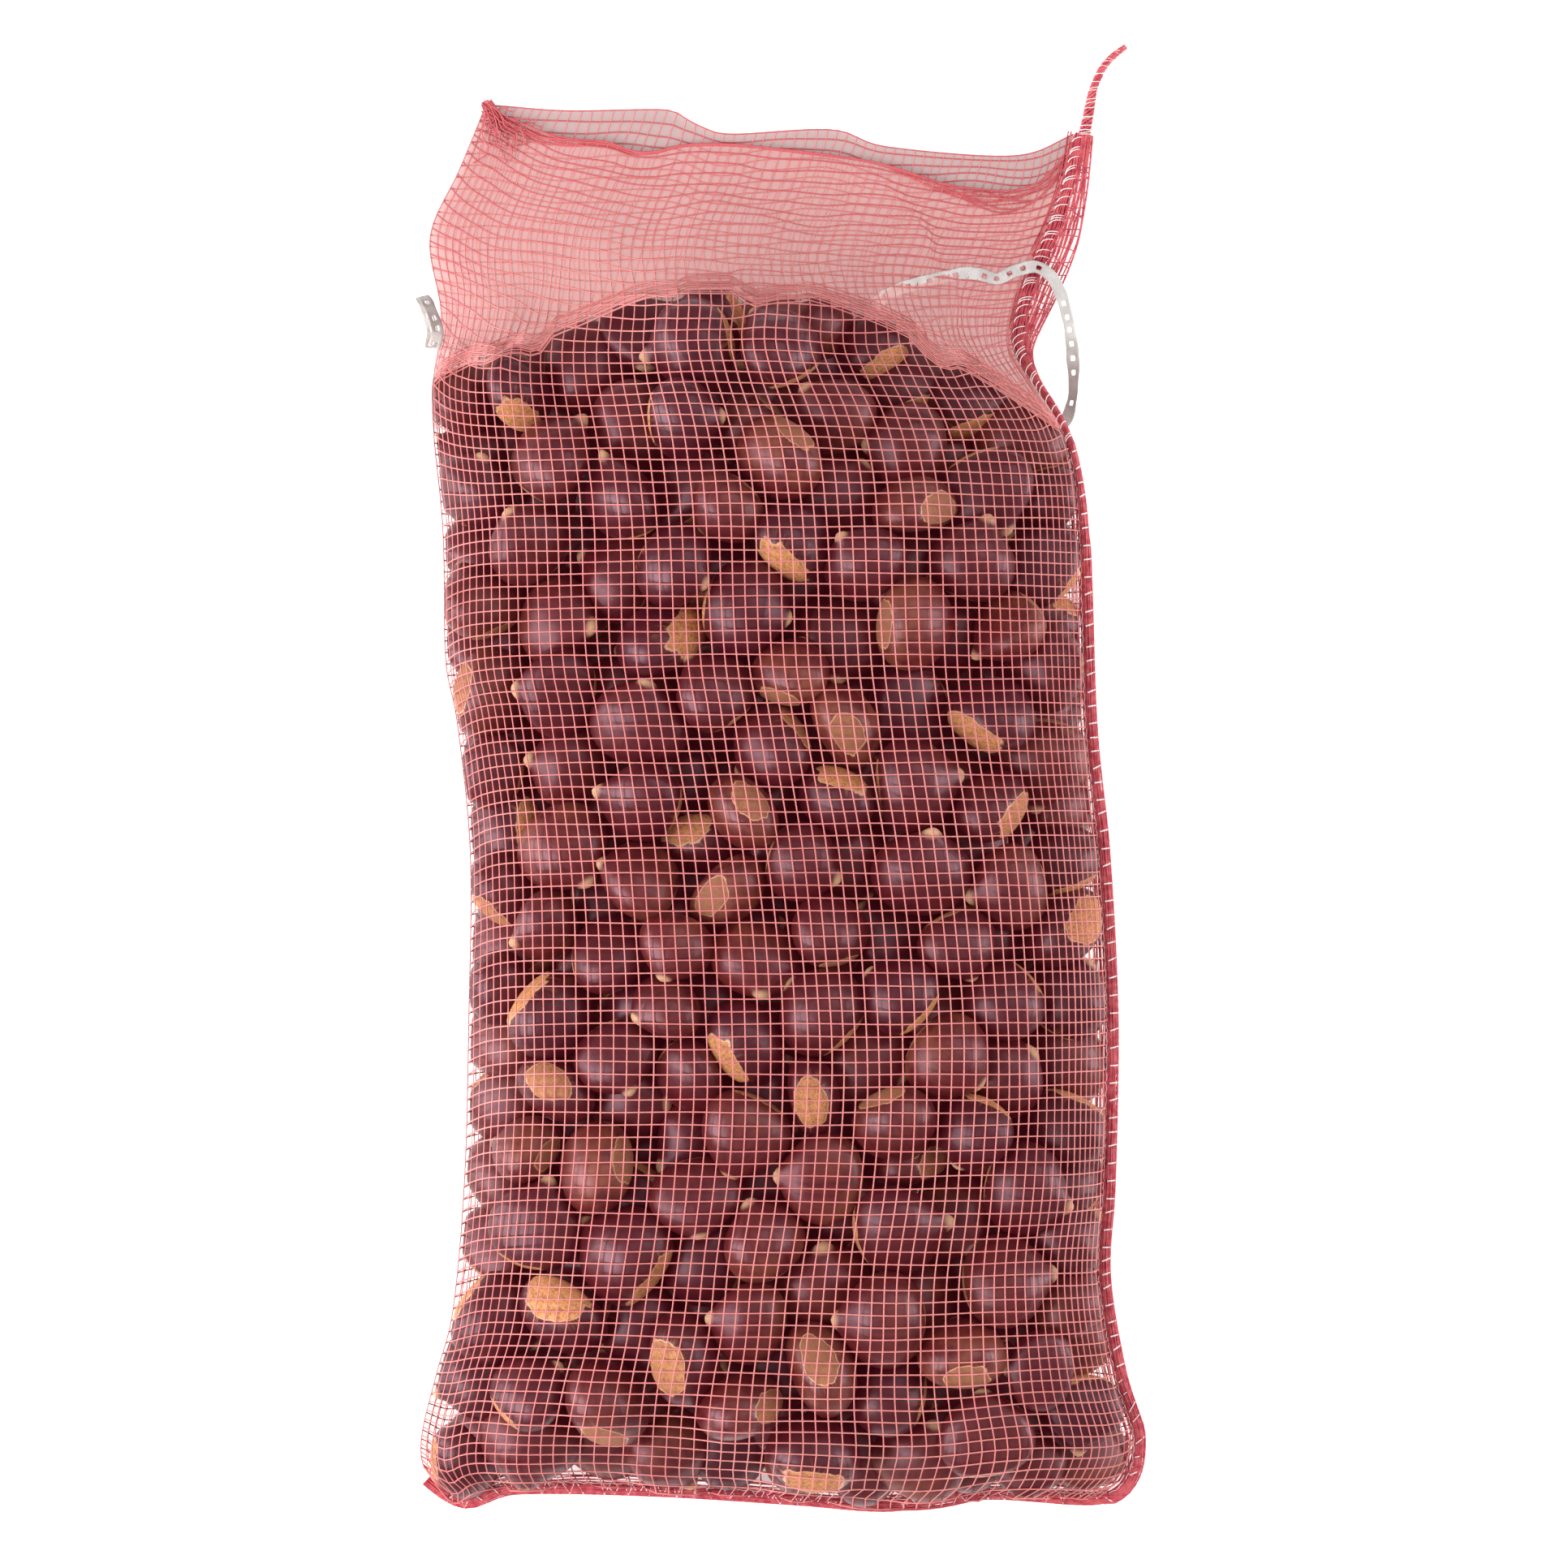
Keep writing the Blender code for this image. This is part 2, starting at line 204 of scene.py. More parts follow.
def metre_mesh(name, shape):
    """The finished shape as a smooth mesh, in metres."""
    bmesh.ops.transform(shape, matrix=Matrix.Scale(MM, 4), verts=shape.verts)
    mesh = bpy.data.meshes.new(name)
    shape.to_mesh(mesh)
    shape.free()
    mesh.shade_smooth()
    return mesh


def add_piece(name, data, finish):
    """Link a finished mesh or curve, dressed, to the bag's one body."""
    piece = placed(name, data)
    data.materials.append(finish)
    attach(piece, "root")
    return piece


def knitted_finish(name, shade_colour, bright):
    material, shader, paint = new_finish(name)
    place = paint.node("ShaderNodeAttribute", {"attribute_name": "tape"}, output=1)
    loops = paint.node("ShaderNodeTexWave", {"bands_direction": "DIAGONAL"},
                       {"Vector": place, "Scale": 1.1, "Distortion": 1.5, "Detail": 2.0}, 1)
    # Painted shade: the shade colour fills the knit's hollows, where the bump is low, and the broad
    # shadow patches.
    fuzz, shadow = place.noise(1.6, 5.0), place.noise(0.16)
    tone = shadow.step(0.35, 0.65).mixed(shade_colour, bright)
    colour = (loops * 0.25 + fuzz * 0.3).step(0.1, 0.45).mixed(shade_colour, tone)
    paint.fill(shader, {"Base Color": colour, "Roughness": 0.85,
                        "Normal": (loops + fuzz * 0.8).relief(0.6, 0.0003)})
    return material


def make_tape(name, node, route, side_of, finish):
    """One stretch of tape along its route, with its eyelets cut out and its edges soft."""
    line = smooth_line(route, EYELET_PITCH / CELLS_PER_EYELET)
    ahead = unit(np.gradient(line, axis=0))
    side = np.array([side_of(t, s) for t, s in zip(ahead, np.linspace(0, 1, len(line)))])
    side = unit(side - (side * ahead).sum(1)[:, None] * ahead)
    shape = bmesh.new()
    place = shape.verts.layers.float_vector.new("tape")
    bmesh.ops.create_grid(shape, x_segments=CELLS_ACROSS, y_segments=len(line) - 1, size=1)
    rng = np.random.default_rng(len(name))
    count = len(line) // CELLS_PER_EYELET + 1
    slip, closed = rng.integers(-1, 2, count), rng.random(count) < CLOSED_EYELETS
    eyelets = []
    for face in shape.faces:
        middle = face.calc_center_median()
        eyelet, step = divmod(math.floor((middle.y + 1) / 2 * (len(line) - 1)), CELLS_PER_EYELET)
        open_here = step - slip[eyelet] in EYELET_CELLS and not closed[eyelet]
        if open_here and abs(middle.x) < EYELET_HALF_WIDTH:
            eyelets.append(face)
    bmesh.ops.delete(shape, geom=eyelets, context="FACES")
    for vert in shape.verts:
        at, across = round((vert.co.y + 1) / 2 * (len(line) - 1)), vert.co.x
        vert[place] = (across * TAPE_WIDTH / 2, at * EYELET_PITCH / CELLS_PER_EYELET, 0)
        waist = 0.97 + 0.05 * math.sin(at / 5.3) + 0.04 * math.sin(at / 2.1 + across)
        vert.co = line[at] + side[at] * across * waist * TAPE_WIDTH / 2
    bmesh.ops.solidify(shape, geom=shape.faces[:], thickness=TAPE_THICKNESS)
    bmesh.ops.recalc_face_normals(shape, faces=shape.faces)
    tape = add_piece(name, metre_mesh(name, shape), finish)
    rounding = tape.modifiers.new("soft edges", "SUBSURF")
    rounding.levels = rounding.render_levels = 1
    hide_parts(node)
    return line


def flat_then_curled(ahead, share):
    """The long loop lies flat on the collar and curls where it turns down past the seam."""
    level = Vector(ahead).cross((0, 0, 1)).normalized()
    hanging = min(max((share - 0.55) / 0.1, 0), 1)
    curl = math.radians(14 * math.sin(9 * share) + hanging * 28 * math.sin(17 * share - 1))
    return np.array(Matrix.Rotation(curl, 3, ahead) @ level)


white_tape = knitted_finish("white_tape", linear(198, 191, 187), linear(232, 228, 226))
# The end is the same white tape, given a darker copy of its colours as painted shade.
shaded_grey_tape = knitted_finish("shaded_grey_tape", linear(168, 160, 155), linear(222, 217, 215))
right_line = make_tape("drawstring_loop_tape", "drawstring_loop", RIGHT_LOOP, flat_then_curled,
                       white_tape)
make_tape("drawstring_end_tape", "drawstring_end", LEFT_LOOP,
          lambda ahead, share: (1, 0.25, 0.6 * math.sin(7 * share)), shaded_grey_tape)


# The chestnuts
# About 290 whole nuts in glossy brown shells, three deep as they settled in the bag, and some 90
# smaller ones wedged between them. Each is flattened, broad at its pale woody scar and drawn to a
# downy tip. Those whose scars show are placed one by one, the rest by a seeded draw that spreads
# them.
folded_side = along([(-246, -118), (-239, -124.2), (-227, -124.8), (-205, -119.3), (-183, -113.5),
                     (-138, -109.5), (-82, -108), (-26, -107.5), (19, -112), (41, -116), (86, -117),
                     (131, -121.3), (160, -118.7), (187, -123), (209, -113.4), (234, -103)])
stitch_line = along([(-248, 109), (-244, 116), (-236, 120.3), (-227, 121), (-205, 114),
                     (-171, 108.4), (-138, 110.1), (-82, 111), (-26, 108.2), (19, 103.8),
                     (86, 101.7), (111, 98.8), (125, 93.8), (137, 86.6), (151, 80.4), (172, 84.6),
                     (188, 91.6), (205, 97.7), (224, 102)])
bottom_seam = along([(-124, -240), (-110, -249.3), (-93, -244.2), (-46, -244.8), (4, -248),
                     (37, -250.3), (70, -246), (104, -248), (118, -246), (121, -240)])
heap_top = along([(-119, 136), (-102, 144), (-74, 153), (-46, 164), (-18, 166), (4, 165), (38, 154),
                  (66, 138), (94, 119), (122, 100)])
foot_overlap = along([(-124, 0.3), (-100, 2), (-60, 1.2), (-20, 1.7), (10, 2.4), (30, 3.4),
                      (44, 3.2), (60, 2), (90, 2.2), (121, 0.3)])
BAG_THICKNESS, HEAP_MIDDLE = 70, 28
CROWN, BELLY, END_CAP, WALL = 2.4, 5, 6, 0.25
NUT_RADII = (15.4, 11, 14.2)
NUT_SPREAD = 0.08
NUT_PITCH = (27.5, 25)
NUT_MARGIN = 0.8
SETTLE_ROUNDS, HELD_ROUNDS, SETTLE_BIAS, SETTLE_PUSH, HELD_PUSH = 320, 270, 0.12, 0.35, 0.3
SEED = 5
SCARS = [(5, 109, 60, 35, 20), (58, 89, 0, 40, 80), (31, 49, 180, 30, 10), (26, 15, -60, 75, 60),
         (-38, -16, 135, 55, 40), (-11, -17, 60, 62, 20), (-23, -41, 205, 60, 70),
         (-84, -99, 120, 70, 30), (8, -110, -100, 78, 80), (35, -111, 120, 25, 20),
         (-50, -129, 15, 40, 30), (-76, -175, 115, 55, 60), (-41, -194, 205, 60, 20),
         (12, -191, 95, 66, 70), (53, -132, 0, 35, 80), (63, -197, -80, 50, 10),
         (78, -15, -20, 28, 40), (-85, 117, -95, 30, 60), (50, 128, -60, 30, 30),
         (1, -213, 10, 30, 75), (6, -233, -90, 35, 15), (-60, -213, -90, 30, 50),
         (-32, 44, 10, 32, 70), (-1, 72, -120, 30, 25), (99, -48, 20, 45, 65)]
SCAR_REACH, SCAR_DEPTH = (0.60, 0.56), 12
START_HEIGHT, LAYER_STEP, SCARRED_HEIGHT = 35, 22, 55
CLEAR_OF_SCARRED, SHOULDER = 21, {1: 12, 0: 18, -1: 18}
FINENESS = 4
LEANING, HALF_NUT = 2, 14
GAP_FLOOR, WEDGED_HEIGHT, WEDGED_SIZE, WEDGED_AT_MOST = 3, 14, 0.86, 100
SEARCH_PITCH, SEARCH_INSET = 2.0, 10
TURNED_DOWN = 0.55
WEDGED = 2
LAYER_NAMES = {1: "chestnuts_upper", 0: "chestnuts_middle", -1: "chestnuts_lower",
               WEDGED: "chestnuts_wedged"}


def net_foot(x):
    """The net's lower edge, which the nuts push out over the seam."""
    return bottom_seam(x) - foot_overlap(x)


def place_in_heap(centre, reach):
    """Clamp the nuts' middles inside the bag, and give the lowest and highest z for each."""
    x, y = centre[:, 0], centre[:, 1]
    low = bottom_seam(x) + NUT_MARGIN + 2 + reach[:, 1]
    high = heap_top(x) - reach[:, 1]
    y = centre[:, 1] = np.clip(y, low, high)
    corner = 2.5 * np.clip((-195 - y) / 35, 0, 1)
    left = folded_side(y) + NUT_MARGIN + corner + reach[:, 0]
    right = stitch_line(y) - NUT_MARGIN - corner - reach[:, 0]
    x = centre[:, 0] = np.clip(x, left, right)
    across = np.abs(2 * (x - left) / (right - left) - 1)
    lengthwise = np.abs(2 * (y - low) / (high - low) - 1)
    middle = HEAP_MIDDLE * (1 - 0.5 * lengthwise**6)
    cap = (1 - lengthwise**END_CAP) ** (1 / END_CAP)
    rise = np.maximum((1 - across**CROWN) ** (1 / CROWN) * cap, WALL)
    drop = np.maximum((1 - across**BELLY) ** (1 / BELLY) * cap, WALL)
    return (middle - (middle - reach[:, 2] - NUT_MARGIN) * drop,
            middle + (BAG_THICKNESS - NUT_MARGIN - reach[:, 2] - middle) * rise)


def turned(scar, roll):
    """A nut's own axes as rows: its width, its thickness, and from the scar to the tip."""
    up = -scar / np.linalg.norm(scar)
    side = np.cross(up, (0, 0, 1) if abs(up[2]) < 0.9 else (0, 1, 0))
    side /= np.linalg.norm(side)
    flat = np.cross(up, side)
    return np.array([side * math.cos(roll) + flat * math.sin(roll),
                     flat * math.cos(roll) - side * math.sin(roll), up])


def settled_nuts():
    """Middles, axes, radii and layers of the whole nuts, as they settled in the bag."""
    rng = np.random.default_rng(SEED)
    nuts = []
    for x, y, heading, lift, roll in SCARS:
        heading, lift = math.radians(heading), math.radians(lift)
        scar = np.array([math.cos(heading) * math.cos(lift), math.sin(heading) * math.cos(lift),
                         math.sin(lift)])
        middle = [x - SCAR_DEPTH * scar[0], y - SCAR_DEPTH * scar[1], SCARRED_HEIGHT]
        nuts.append((middle, turned(scar, math.radians(roll)), 1, True))
    for level in (1, -1, 0):
        for row, y in enumerate(np.arange(-232, 160, NUT_PITCH[1])):
            for x in np.arange(-112 + (row + level) % 2 * NUT_PITCH[0] / 2, 114, NUT_PITCH[0]):
                x_nut, y_nut = np.array([x, y]) + rng.normal(0, 2.5, 2)
                heading, tilt = rng.uniform(0, 2 * math.pi), rng.normal(0, 0.35)
                scar = np.array([math.cos(heading), math.sin(heading), math.sin(tilt)])
                roll = rng.normal(0, 0.4)
                shoulder = SHOULDER[level]
                inside = (folded_side(y) + shoulder < x < stitch_line(y) - shoulder
                          and bottom_seam(x) + shoulder < y < heap_top(x) - shoulder)
                taken = level == 1 and any(
                    math.hypot(x_nut - nut[0][0], y_nut - nut[0][1]) < CLEAR_OF_SCARRED
                    for nut in nuts[:len(SCARS)])
                if inside and not taken:
                    middle = [x_nut, y_nut, START_HEIGHT + LAYER_STEP * level]
                    nuts.append((middle, turned(scar, roll), level, False))
    centre, axes, layer, pinned = (np.array(part) for part in zip(*nuts))
    radii = np.array(NUT_RADII) * rng.normal(1, NUT_SPREAD, (len(centre), 1)).clip(0.84, 1.14)
    form = np.einsum("nia,ni,nib->nab", axes, radii**2, axes)
    inverse = np.linalg.inv(form)
    reach = np.sqrt(np.einsum("naa->na", form))
    sink = rng.uniform(0, 4, len(centre))
    for turn in range(SETTLE_ROUNDS):
        apart = centre[:, None] - centre[None]
        distance = np.linalg.norm(apart, axis=2) + 1e-6
        way = apart / distance[..., None]
        widest = np.sqrt((way @ form * way).sum(2))
        straight = 1 / np.sqrt((way @ inverse * way).sum(2) + 1e-9)
        size = (widest + straight) / 2
        overlap = np.clip(size + size.T - distance, 0, None)
        np.fill_diagonal(overlap, 0)
        push = SETTLE_PUSH * (overlap[..., None] * way).sum(1)
        push[pinned, :2] *= 0 if turn < HELD_ROUNDS else HELD_PUSH
        centre += push
        centre[:, 2] += SETTLE_BIAS * layer
        lowest, highest = place_in_heap(centre, reach)
        centre[:, 2] = np.clip(centre[:, 2], lowest, np.maximum(highest - sink, lowest))
    return centre, axes, radii, layer


def edge_gaps(x, y):
    """How far a place is from the heap's fold, stitches, bottom and top."""
    return x - folded_side(y), stitch_line(y) - x, y - bottom_seam(x), heap_top(x) - y


def spread_out(centre):
    """Let the outer nuts lean on the net, as they do when the bag is laid down."""
    x, y = centre[:, 0], centre[:, 1]
    left, right, bottom, top = (gap - HALF_NUT for gap in edge_gaps(x, y))
    centre[:, 0] += LEANING * (np.exp(-right / 12) - np.exp(-left / 12))
    centre[:, 1] += LEANING * 1.5 * np.exp(-top / 14)
    centre[:, 1] -= (LEANING + foot_overlap(x)) * np.exp(-bottom / 12)
    return centre


def heap_surface(spots, centre, axes, radii):
    """The heap's height over each spot, 0 where the table would show."""
    form = np.einsum("nia,ni,nib->nab", axes, radii**-2.0, axes)
    dx, dy = spots[:, :1] - centre[:, 0], spots[:, 1:] - centre[:, 1]
    b = form[:, 0, 2] * dx + form[:, 1, 2] * dy
    c = form[:, 0, 0] * dx**2 + 2 * form[:, 0, 1] * dx * dy + form[:, 1, 1] * dy**2 - 1
    root = b**2 - form[:, 2, 2] * c
    top = centre[:, 2] + (np.sqrt(np.clip(root, 0, None)) - b) / form[:, 2, 2]
    return np.where(root > 0.2 * form[:, 2, 2], top, 0).max(1)


def with_wedged(centre, axes, radii, layer):
    """Add the smaller nuts wedged in the heap's deepest gaps, where they hide the table."""
    across, along_bag = np.meshgrid(np.arange(-108, 112, SEARCH_PITCH),
                                    np.arange(-234, 158, SEARCH_PITCH))
    spots = np.column_stack([across.ravel(), along_bag.ravel()])
    spots = spots[np.min(edge_gaps(*spots.T), axis=0) > SEARCH_INSET]
    height = heap_surface(spots, centre, axes, radii)
    for _ in range(WEDGED_AT_MOST):
        lowest = height.argmin()
        if height[lowest] > GAP_FLOOR:
            break
        heading = 0.7 * len(centre)
        scar = np.array([math.cos(heading), math.sin(heading), -0.1])
        centre = np.vstack([centre, [*spots[lowest], WEDGED_HEIGHT]])
        axes = np.concatenate([axes, [turned(scar, 0)]])
        radii = np.vstack([radii, np.array(NUT_RADII) * WEDGED_SIZE])
        layer = np.append(layer, WEDGED)
        new = heap_surface(spots, centre[-1:], axes[-1:], radii[-1:])
        height = np.maximum(height, new)
    return centre, axes, radii, layer


def nut_ball():
    """The corners and triangles of a round blank for one nut."""
    blank = bmesh.new()
    bmesh.ops.create_icosphere(blank, subdivisions=FINENESS, radius=1)
    corners = np.array([v.co for v in blank.verts])
    triangles = np.array([[v.index for v in f.verts] for f in blank.faces])
    blank.free()
    return corners, triangles


def nut_forms(ball, count, rng):
    """Blanks shaped as nuts: a flattened scar, full shoulders, a drawn tip, and no two alike."""
    x, y, z = (np.repeat(ball[None, :, axis], count, 0) for axis in range(3))
    draw = lambda low, high: rng.uniform(low, high, (count, 1))
    tip = np.clip((z - 0.5) / 0.5, 0, 1)
    taper = 1 - draw(0.18, 0.4) * tip**1.5
    full = 1 + 0.03 * np.exp(-((z + 0.3) / 0.4) ** 2)
    tuft = np.clip((z - 0.94) / 0.06, 0, 1)
    drawn = z + draw(0.02, 0.12) * tip**2 + draw(0.06, 0.22) * tuft
    base = np.clip((-z - 0.7) / 0.3, 0, 1)
    drawn += base * draw(0.08, 0.16)
    flat_face = draw(0.05, 0.42)
    thick = np.where(y > 0, y * (1 - flat_face * np.abs(y) ** 0.7), y * (1 + 0.15 * flat_face))
    lumps = sum(0.013 * np.sin(draw(1.4, 3.4) * axis + draw(0, 6.3)) for axis in (x, y, z, x + y))
    lean = draw(-0.12, 0.12) * tip**2
    return np.stack([(x * taper * full + lean) * (1 + lumps), thick * taper * full * (1 + lumps),
                     drawn * (1 + lumps)], axis=2)


def shell_finish():
    """Lacquered mahogany shells with fine streaks, and a grainy ochre scar with a thin rim."""
    material, shader, paint = new_finish("chestnut_shell")
    place = paint.node("ShaderNodeAttribute", {"attribute_name": "nut"}, output=1)
    tone = paint.node("ShaderNodeAttribute", {"attribute_name": "tone"}, output=2)
    x, y, z = (paint.node("ShaderNodeSeparateXYZ", {}, {0: place}, axis) for axis in range(3))
    girth = (x * x + y * y + 0.0004) ** 0.5
    shift = tone * 40
    round_way = paint.node("ShaderNodeCombineXYZ", {}, {0: x / girth * 3 + shift,
                                                        1: y / girth * 3, 2: z * 0.45})
    spot_way = paint.node("ShaderNodeCombineXYZ", {}, {0: x + shift, 1: y, 2: z})
    streak, cloud = round_way.noise(2.6, 4.0, 0.7), spot_way.noise(1.3)
    grain, ragged = spot_way.noise(13.0, 4.0, 0.7), spot_way.noise(3.2, 1.0)
    dots = paint.node("ShaderNodeTexVoronoi", {}, {"Vector": spot_way, "Scale": 9.0})
    edge = (x * x / SCAR_REACH[0] ** 2 + y * y / SCAR_REACH[1] ** 2) ** 0.5
    edge = edge * (tone * 0.35 + 0.86) + (grain - 0.5) * 0.12 + (cloud - 0.5) * 0.8
    edge = edge + (ragged - 0.5) * 0.3
    below = 1 - z.step(-0.45, -0.3)
    scar = (1 - edge.step(0.96, 1.01)) * below
    rim = (1 - edge.step(1.02, 1.08)) * below - scar
    rays = (1 - edge.step(1.0, 1.5)) * below * streak.step(0.5, 0.68)
    down = z.step(0.945, 0.985)
    deep = tone.mixed(linear(70, 19, 28), linear(106, 42, 38))
    shell = (streak.step(0.35, 0.7) * 0.6 + cloud * 0.3).mixed(deep, linear(58, 18, 27))
    shell = (z.step(-0.1, -0.75) * 0.3).mixed(shell, linear(46, 18, 24))
    bare = tone.step(0.5, 0.95) * z.step(0.6, -0.6) * cloud.step(0.35, 0.6)
    shell = (bare * 0.55).mixed(shell, linear(136, 80, 58))
    worn = (cloud * 0.5 + tone * 0.7).step(0.2, 0.85).mixed(linear(212, 148, 92),
                                                            linear(150, 100, 74))
    scarred = (grain.step(0.42, 0.62) * 0.7).mixed(worn, linear(140, 94, 62))
    scarred = ((1 - dots.step(0.1, 0.26)) * 0.7).mixed(scarred, linear(112, 72, 52))
    colour = (rays * 0.55).mixed(shell, linear(164, 104, 74))
    colour = rim.mixed(colour, linear(208, 156, 116))
    colour = scar.mixed(colour, scarred)
    colour = (down * 0.85).mixed(colour, linear(212, 170, 130))
    dull = scar.maths("MAXIMUM", scar, down)
    gloss = 0.27 + cloud * 0.2 + dull * 0.4
    # The emission is painted light: a faint dark-red glow that lifts the shade between the nuts.
    paint.fill(shader, {"Base Color": colour, "Roughness": gloss,
                        "Normal": (streak * 0.35 + grain * dull * 1.5).relief(0.35, 0.0004),
                        "Specular Tint": (1, 0.7, 0.8, 1), "Specular IOR Level": 0.58,
                        "Emission Color": linear(60, 17, 23), "Emission Strength": 0.42})
    return material


def make_nuts(name, chosen):
    """Join the chosen nuts as one mesh, with each corner's place on its own nut kept."""
    ball, triangles = nut_ball()
    rng = np.random.default_rng(SEED + len(name) + len(chosen))
    forms = nut_forms(ball, len(chosen), rng) * nut_radii[chosen][:, None, :]
    corners = np.einsum("nva,nab->nvb", forms, nut_axes[chosen]) + nut_centre[chosen][:, None, :]
    x, y = corners[..., 0], corners[..., 1]
    corners[..., 0] = x.clip(folded_side(y) + NUT_MARGIN, stitch_line(y) - NUT_MARGIN)
    corners[..., 1] = y.clip(net_foot(x) + NUT_MARGIN, heap_top(x) + 2 * NUT_MARGIN)
    corners[..., 2] = corners[..., 2].clip(NUT_MARGIN, BAG_THICKNESS - 1.2)
    faces = triangles[None] + (np.arange(len(chosen)) * len(ball))[:, None, None]
    sides = [corners[:, triangles[:, i]] for i in range(3)]
    nut_points.extend([corners.reshape(-1, 3), sum(sides).reshape(-1, 3) / 3])
    nut_points.extend((sides[i] + sides[i - 1]).reshape(-1, 3) / 2 for i in range(3))
    mesh = bpy.data.meshes.new(name)
    mesh.vertices.add(corners.size // 3)
    mesh.vertices.foreach_set("co", (corners * MM).astype(np.float32).ravel())
    mesh.loops.add(faces.size)
    mesh.loops.foreach_set("vertex_index", faces.ravel())
    mesh.polygons.add(faces.size // 3)
    mesh.polygons.foreach_set("loop_start", np.arange(0, faces.size, 3))
    mesh.update(calc_edges=True)
    mesh.shade_smooth()
    place = mesh.attributes.new("nut", "FLOAT_VECTOR", "POINT")
    place.data.foreach_set("vector", np.tile(ball, (len(chosen), 1)).astype(np.float32).ravel())
    tone = mesh.attributes.new("tone", "FLOAT", "POINT")
    shade = np.repeat(rng.uniform(0, 1, len(chosen)), len(ball))
    tone.data.foreach_set("value", shade.astype(np.float32))
    return add_piece(name, mesh, chestnut_shell)


settled_centre, *settled_rest = settled_nuts()
nut_centre, nut_axes, nut_radii, nut_layer = with_wedged(spread_out(settled_centre), *settled_rest)
turning = np.random.default_rng(SEED).random(len(nut_axes)) < TURNED_DOWN
scar_up = turning & (np.arange(len(nut_axes)) >= len(SCARS)) & (nut_axes[:, 2, 2] < 0)
nut_axes[scar_up, 1:] *= -1
chestnut_shell, nut_points = shell_finish(), []
for level, name in LAYER_NAMES.items():
    make_nuts(name, np.flatnonzero(nut_layer == level))


# The net
# Red woven net in one piece, folded at the left: warp threads run up the bag, thicker weft threads
# across it. It is drawn tight over the nuts, and lies slack and doubled at the mouth.
back_hem = along([(-103, 234), (-91, 233), (-70, 231.5), (-40, 232), (-34, 229.5), (-27, 225.5),
                  (-18, 223.5), (14, 225), (32, 219), (76, 216), (102, 224)])
front_hem = along([(-103, 233), (-77, 224), (-63.5, 221.3), (-52.6, 220.6), (-44.5, 217.6),
                   (-37, 217.4), (-29.6, 219.5), (-18, 220.2), (-2, 219), (32, 214), (58, 205.5),
                   (85, 205.5), (102, 222)])
edge_height = along([(-250, 7), (-232, 14), (-205, 23), (-160, 27), (85, 27), (118, 20), (140, 9),
                     (160, 3.5), (240, 2)])
WARPS = 64
WARP_WIDTH, WEFT_WIDTH = 0.47, 0.54
weft_spacing = along([(-250, 3.5), (-225, 3.7), (-150, 4.2), (-60, 4.2), (60, 3.9), (150, 3.6),
                      (240, 3.6)])
LOW_LEVEL, HIGH_LEVEL = -246, {True: 217, False: 226}
FOOT_BLEND, HEM_BLEND, LEVEL_ROUNDS = 30, 24, 6
HEM_PULL, HEM_DEPTH, HEM_WIDENS = 0.62, 2.5, 3.5
CREST_PULL, CREST_REACH = {True: 0.78, False: 0.1}, 6
SLACK_SPAN = (-8, 22)
SEAM_LIFT, SEAM_LIFT_AT, SEAM_LIFT_SPAN, EDGE_REACH = 3, 150, 22, 12
left_bow = along([(-250, 0), (-200, -4), (-100, -6), (50, -6), (85, -3), (105, 5), (125, 10),
                  (150, 15), (190, 19), (212, 11), (228, 2), (240, 0)])
EDGE_PINCH = 0.32
LEAN, LEAN_AT, LEAN_SPAN = 9, -105, 95
KNOT, KNOT_REACH, KNOT_PULL = (-103.5, 233.5), 13, 0.7
WRINKLES = [((11, 216), (34, 210), 1.4, 5), ((34, 210), (50, 190), 2.0, 5),
            ((50, 190), (61, 164), 2.2, 5), ((61, 164), (58, 140), 1.6, 4),
            ((-30, 203), (14, 188), 1.5, 5), ((-76, 213), (-44, 208), 1.8, 5),
            ((-44, 208), (-46, 182), 1.4, 5), ((-112, 176), (-70, 150), 1.2, 7)]
WRINKLE_LIFT = 1.4
CLEAR_OF_NUT = 0.5
NET_WEIGHT, COLLAR_WEIGHT = 0.01, 0.05
BETWEEN_LAYERS, OVER_BAND = 1.1, 1.7
TIGHTEN_ROUNDS = 900
TAPE_HIDDEN, OVER_TAPE, UNDER_TAPE = 4, 1.0, -0.9
HEM_THREADS, KNOT_STRANDS = 7, 30
CONTOUR_SPAN, CONTOUR_ROWS = (-1.5, 5.5), 10
CREST_ABOVE, CREST_DEPTH = 22, 9
# The haze sheets are painted light and shade; EDGE_HAZE is the thin margin of painted shadow under
# the heap's rim.
HAZE_MARGIN, EDGE_HAZE, EDGE_HAZE_TOP = 13, 0.34, 4
HEAP_CORNER, HEAP_CELLS, FAR_BELOW = (-135, -260), (480, 270), -900.0
OVER_TABLE, SLACK_REACH, KNOT_LOOPS = 0.4, 26, 5
THINNER = {"front": 0.36, "back": 0.15}


def rise(low, high, value):
    """0 below low and 1 above high, smoothly."""
    t = np.clip((value - low) / (high - low), 0, 1)
    return t * t * (3 - 2 * t)


def bump(distance, width):
    return np.exp(-((distance / width) ** 2))


def outermost(points, side):
    """The highest (side 1) or lowest (side -1) of the points over each square millimetre."""
    cells = np.full(HEAP_CELLS, FAR_BELOW)
    column, row = (np.round(points[:, :2] - HEAP_CORNER).astype(int)).T
    np.maximum.at(cells, (row, column), side * points[:, 2])
    spread = cells.copy()
    for down in (-1, 0, 1):
        for right in (-1, 0, 1):
            spread = np.maximum(spread, np.roll(cells, (down, right), (0, 1)))
    return spread


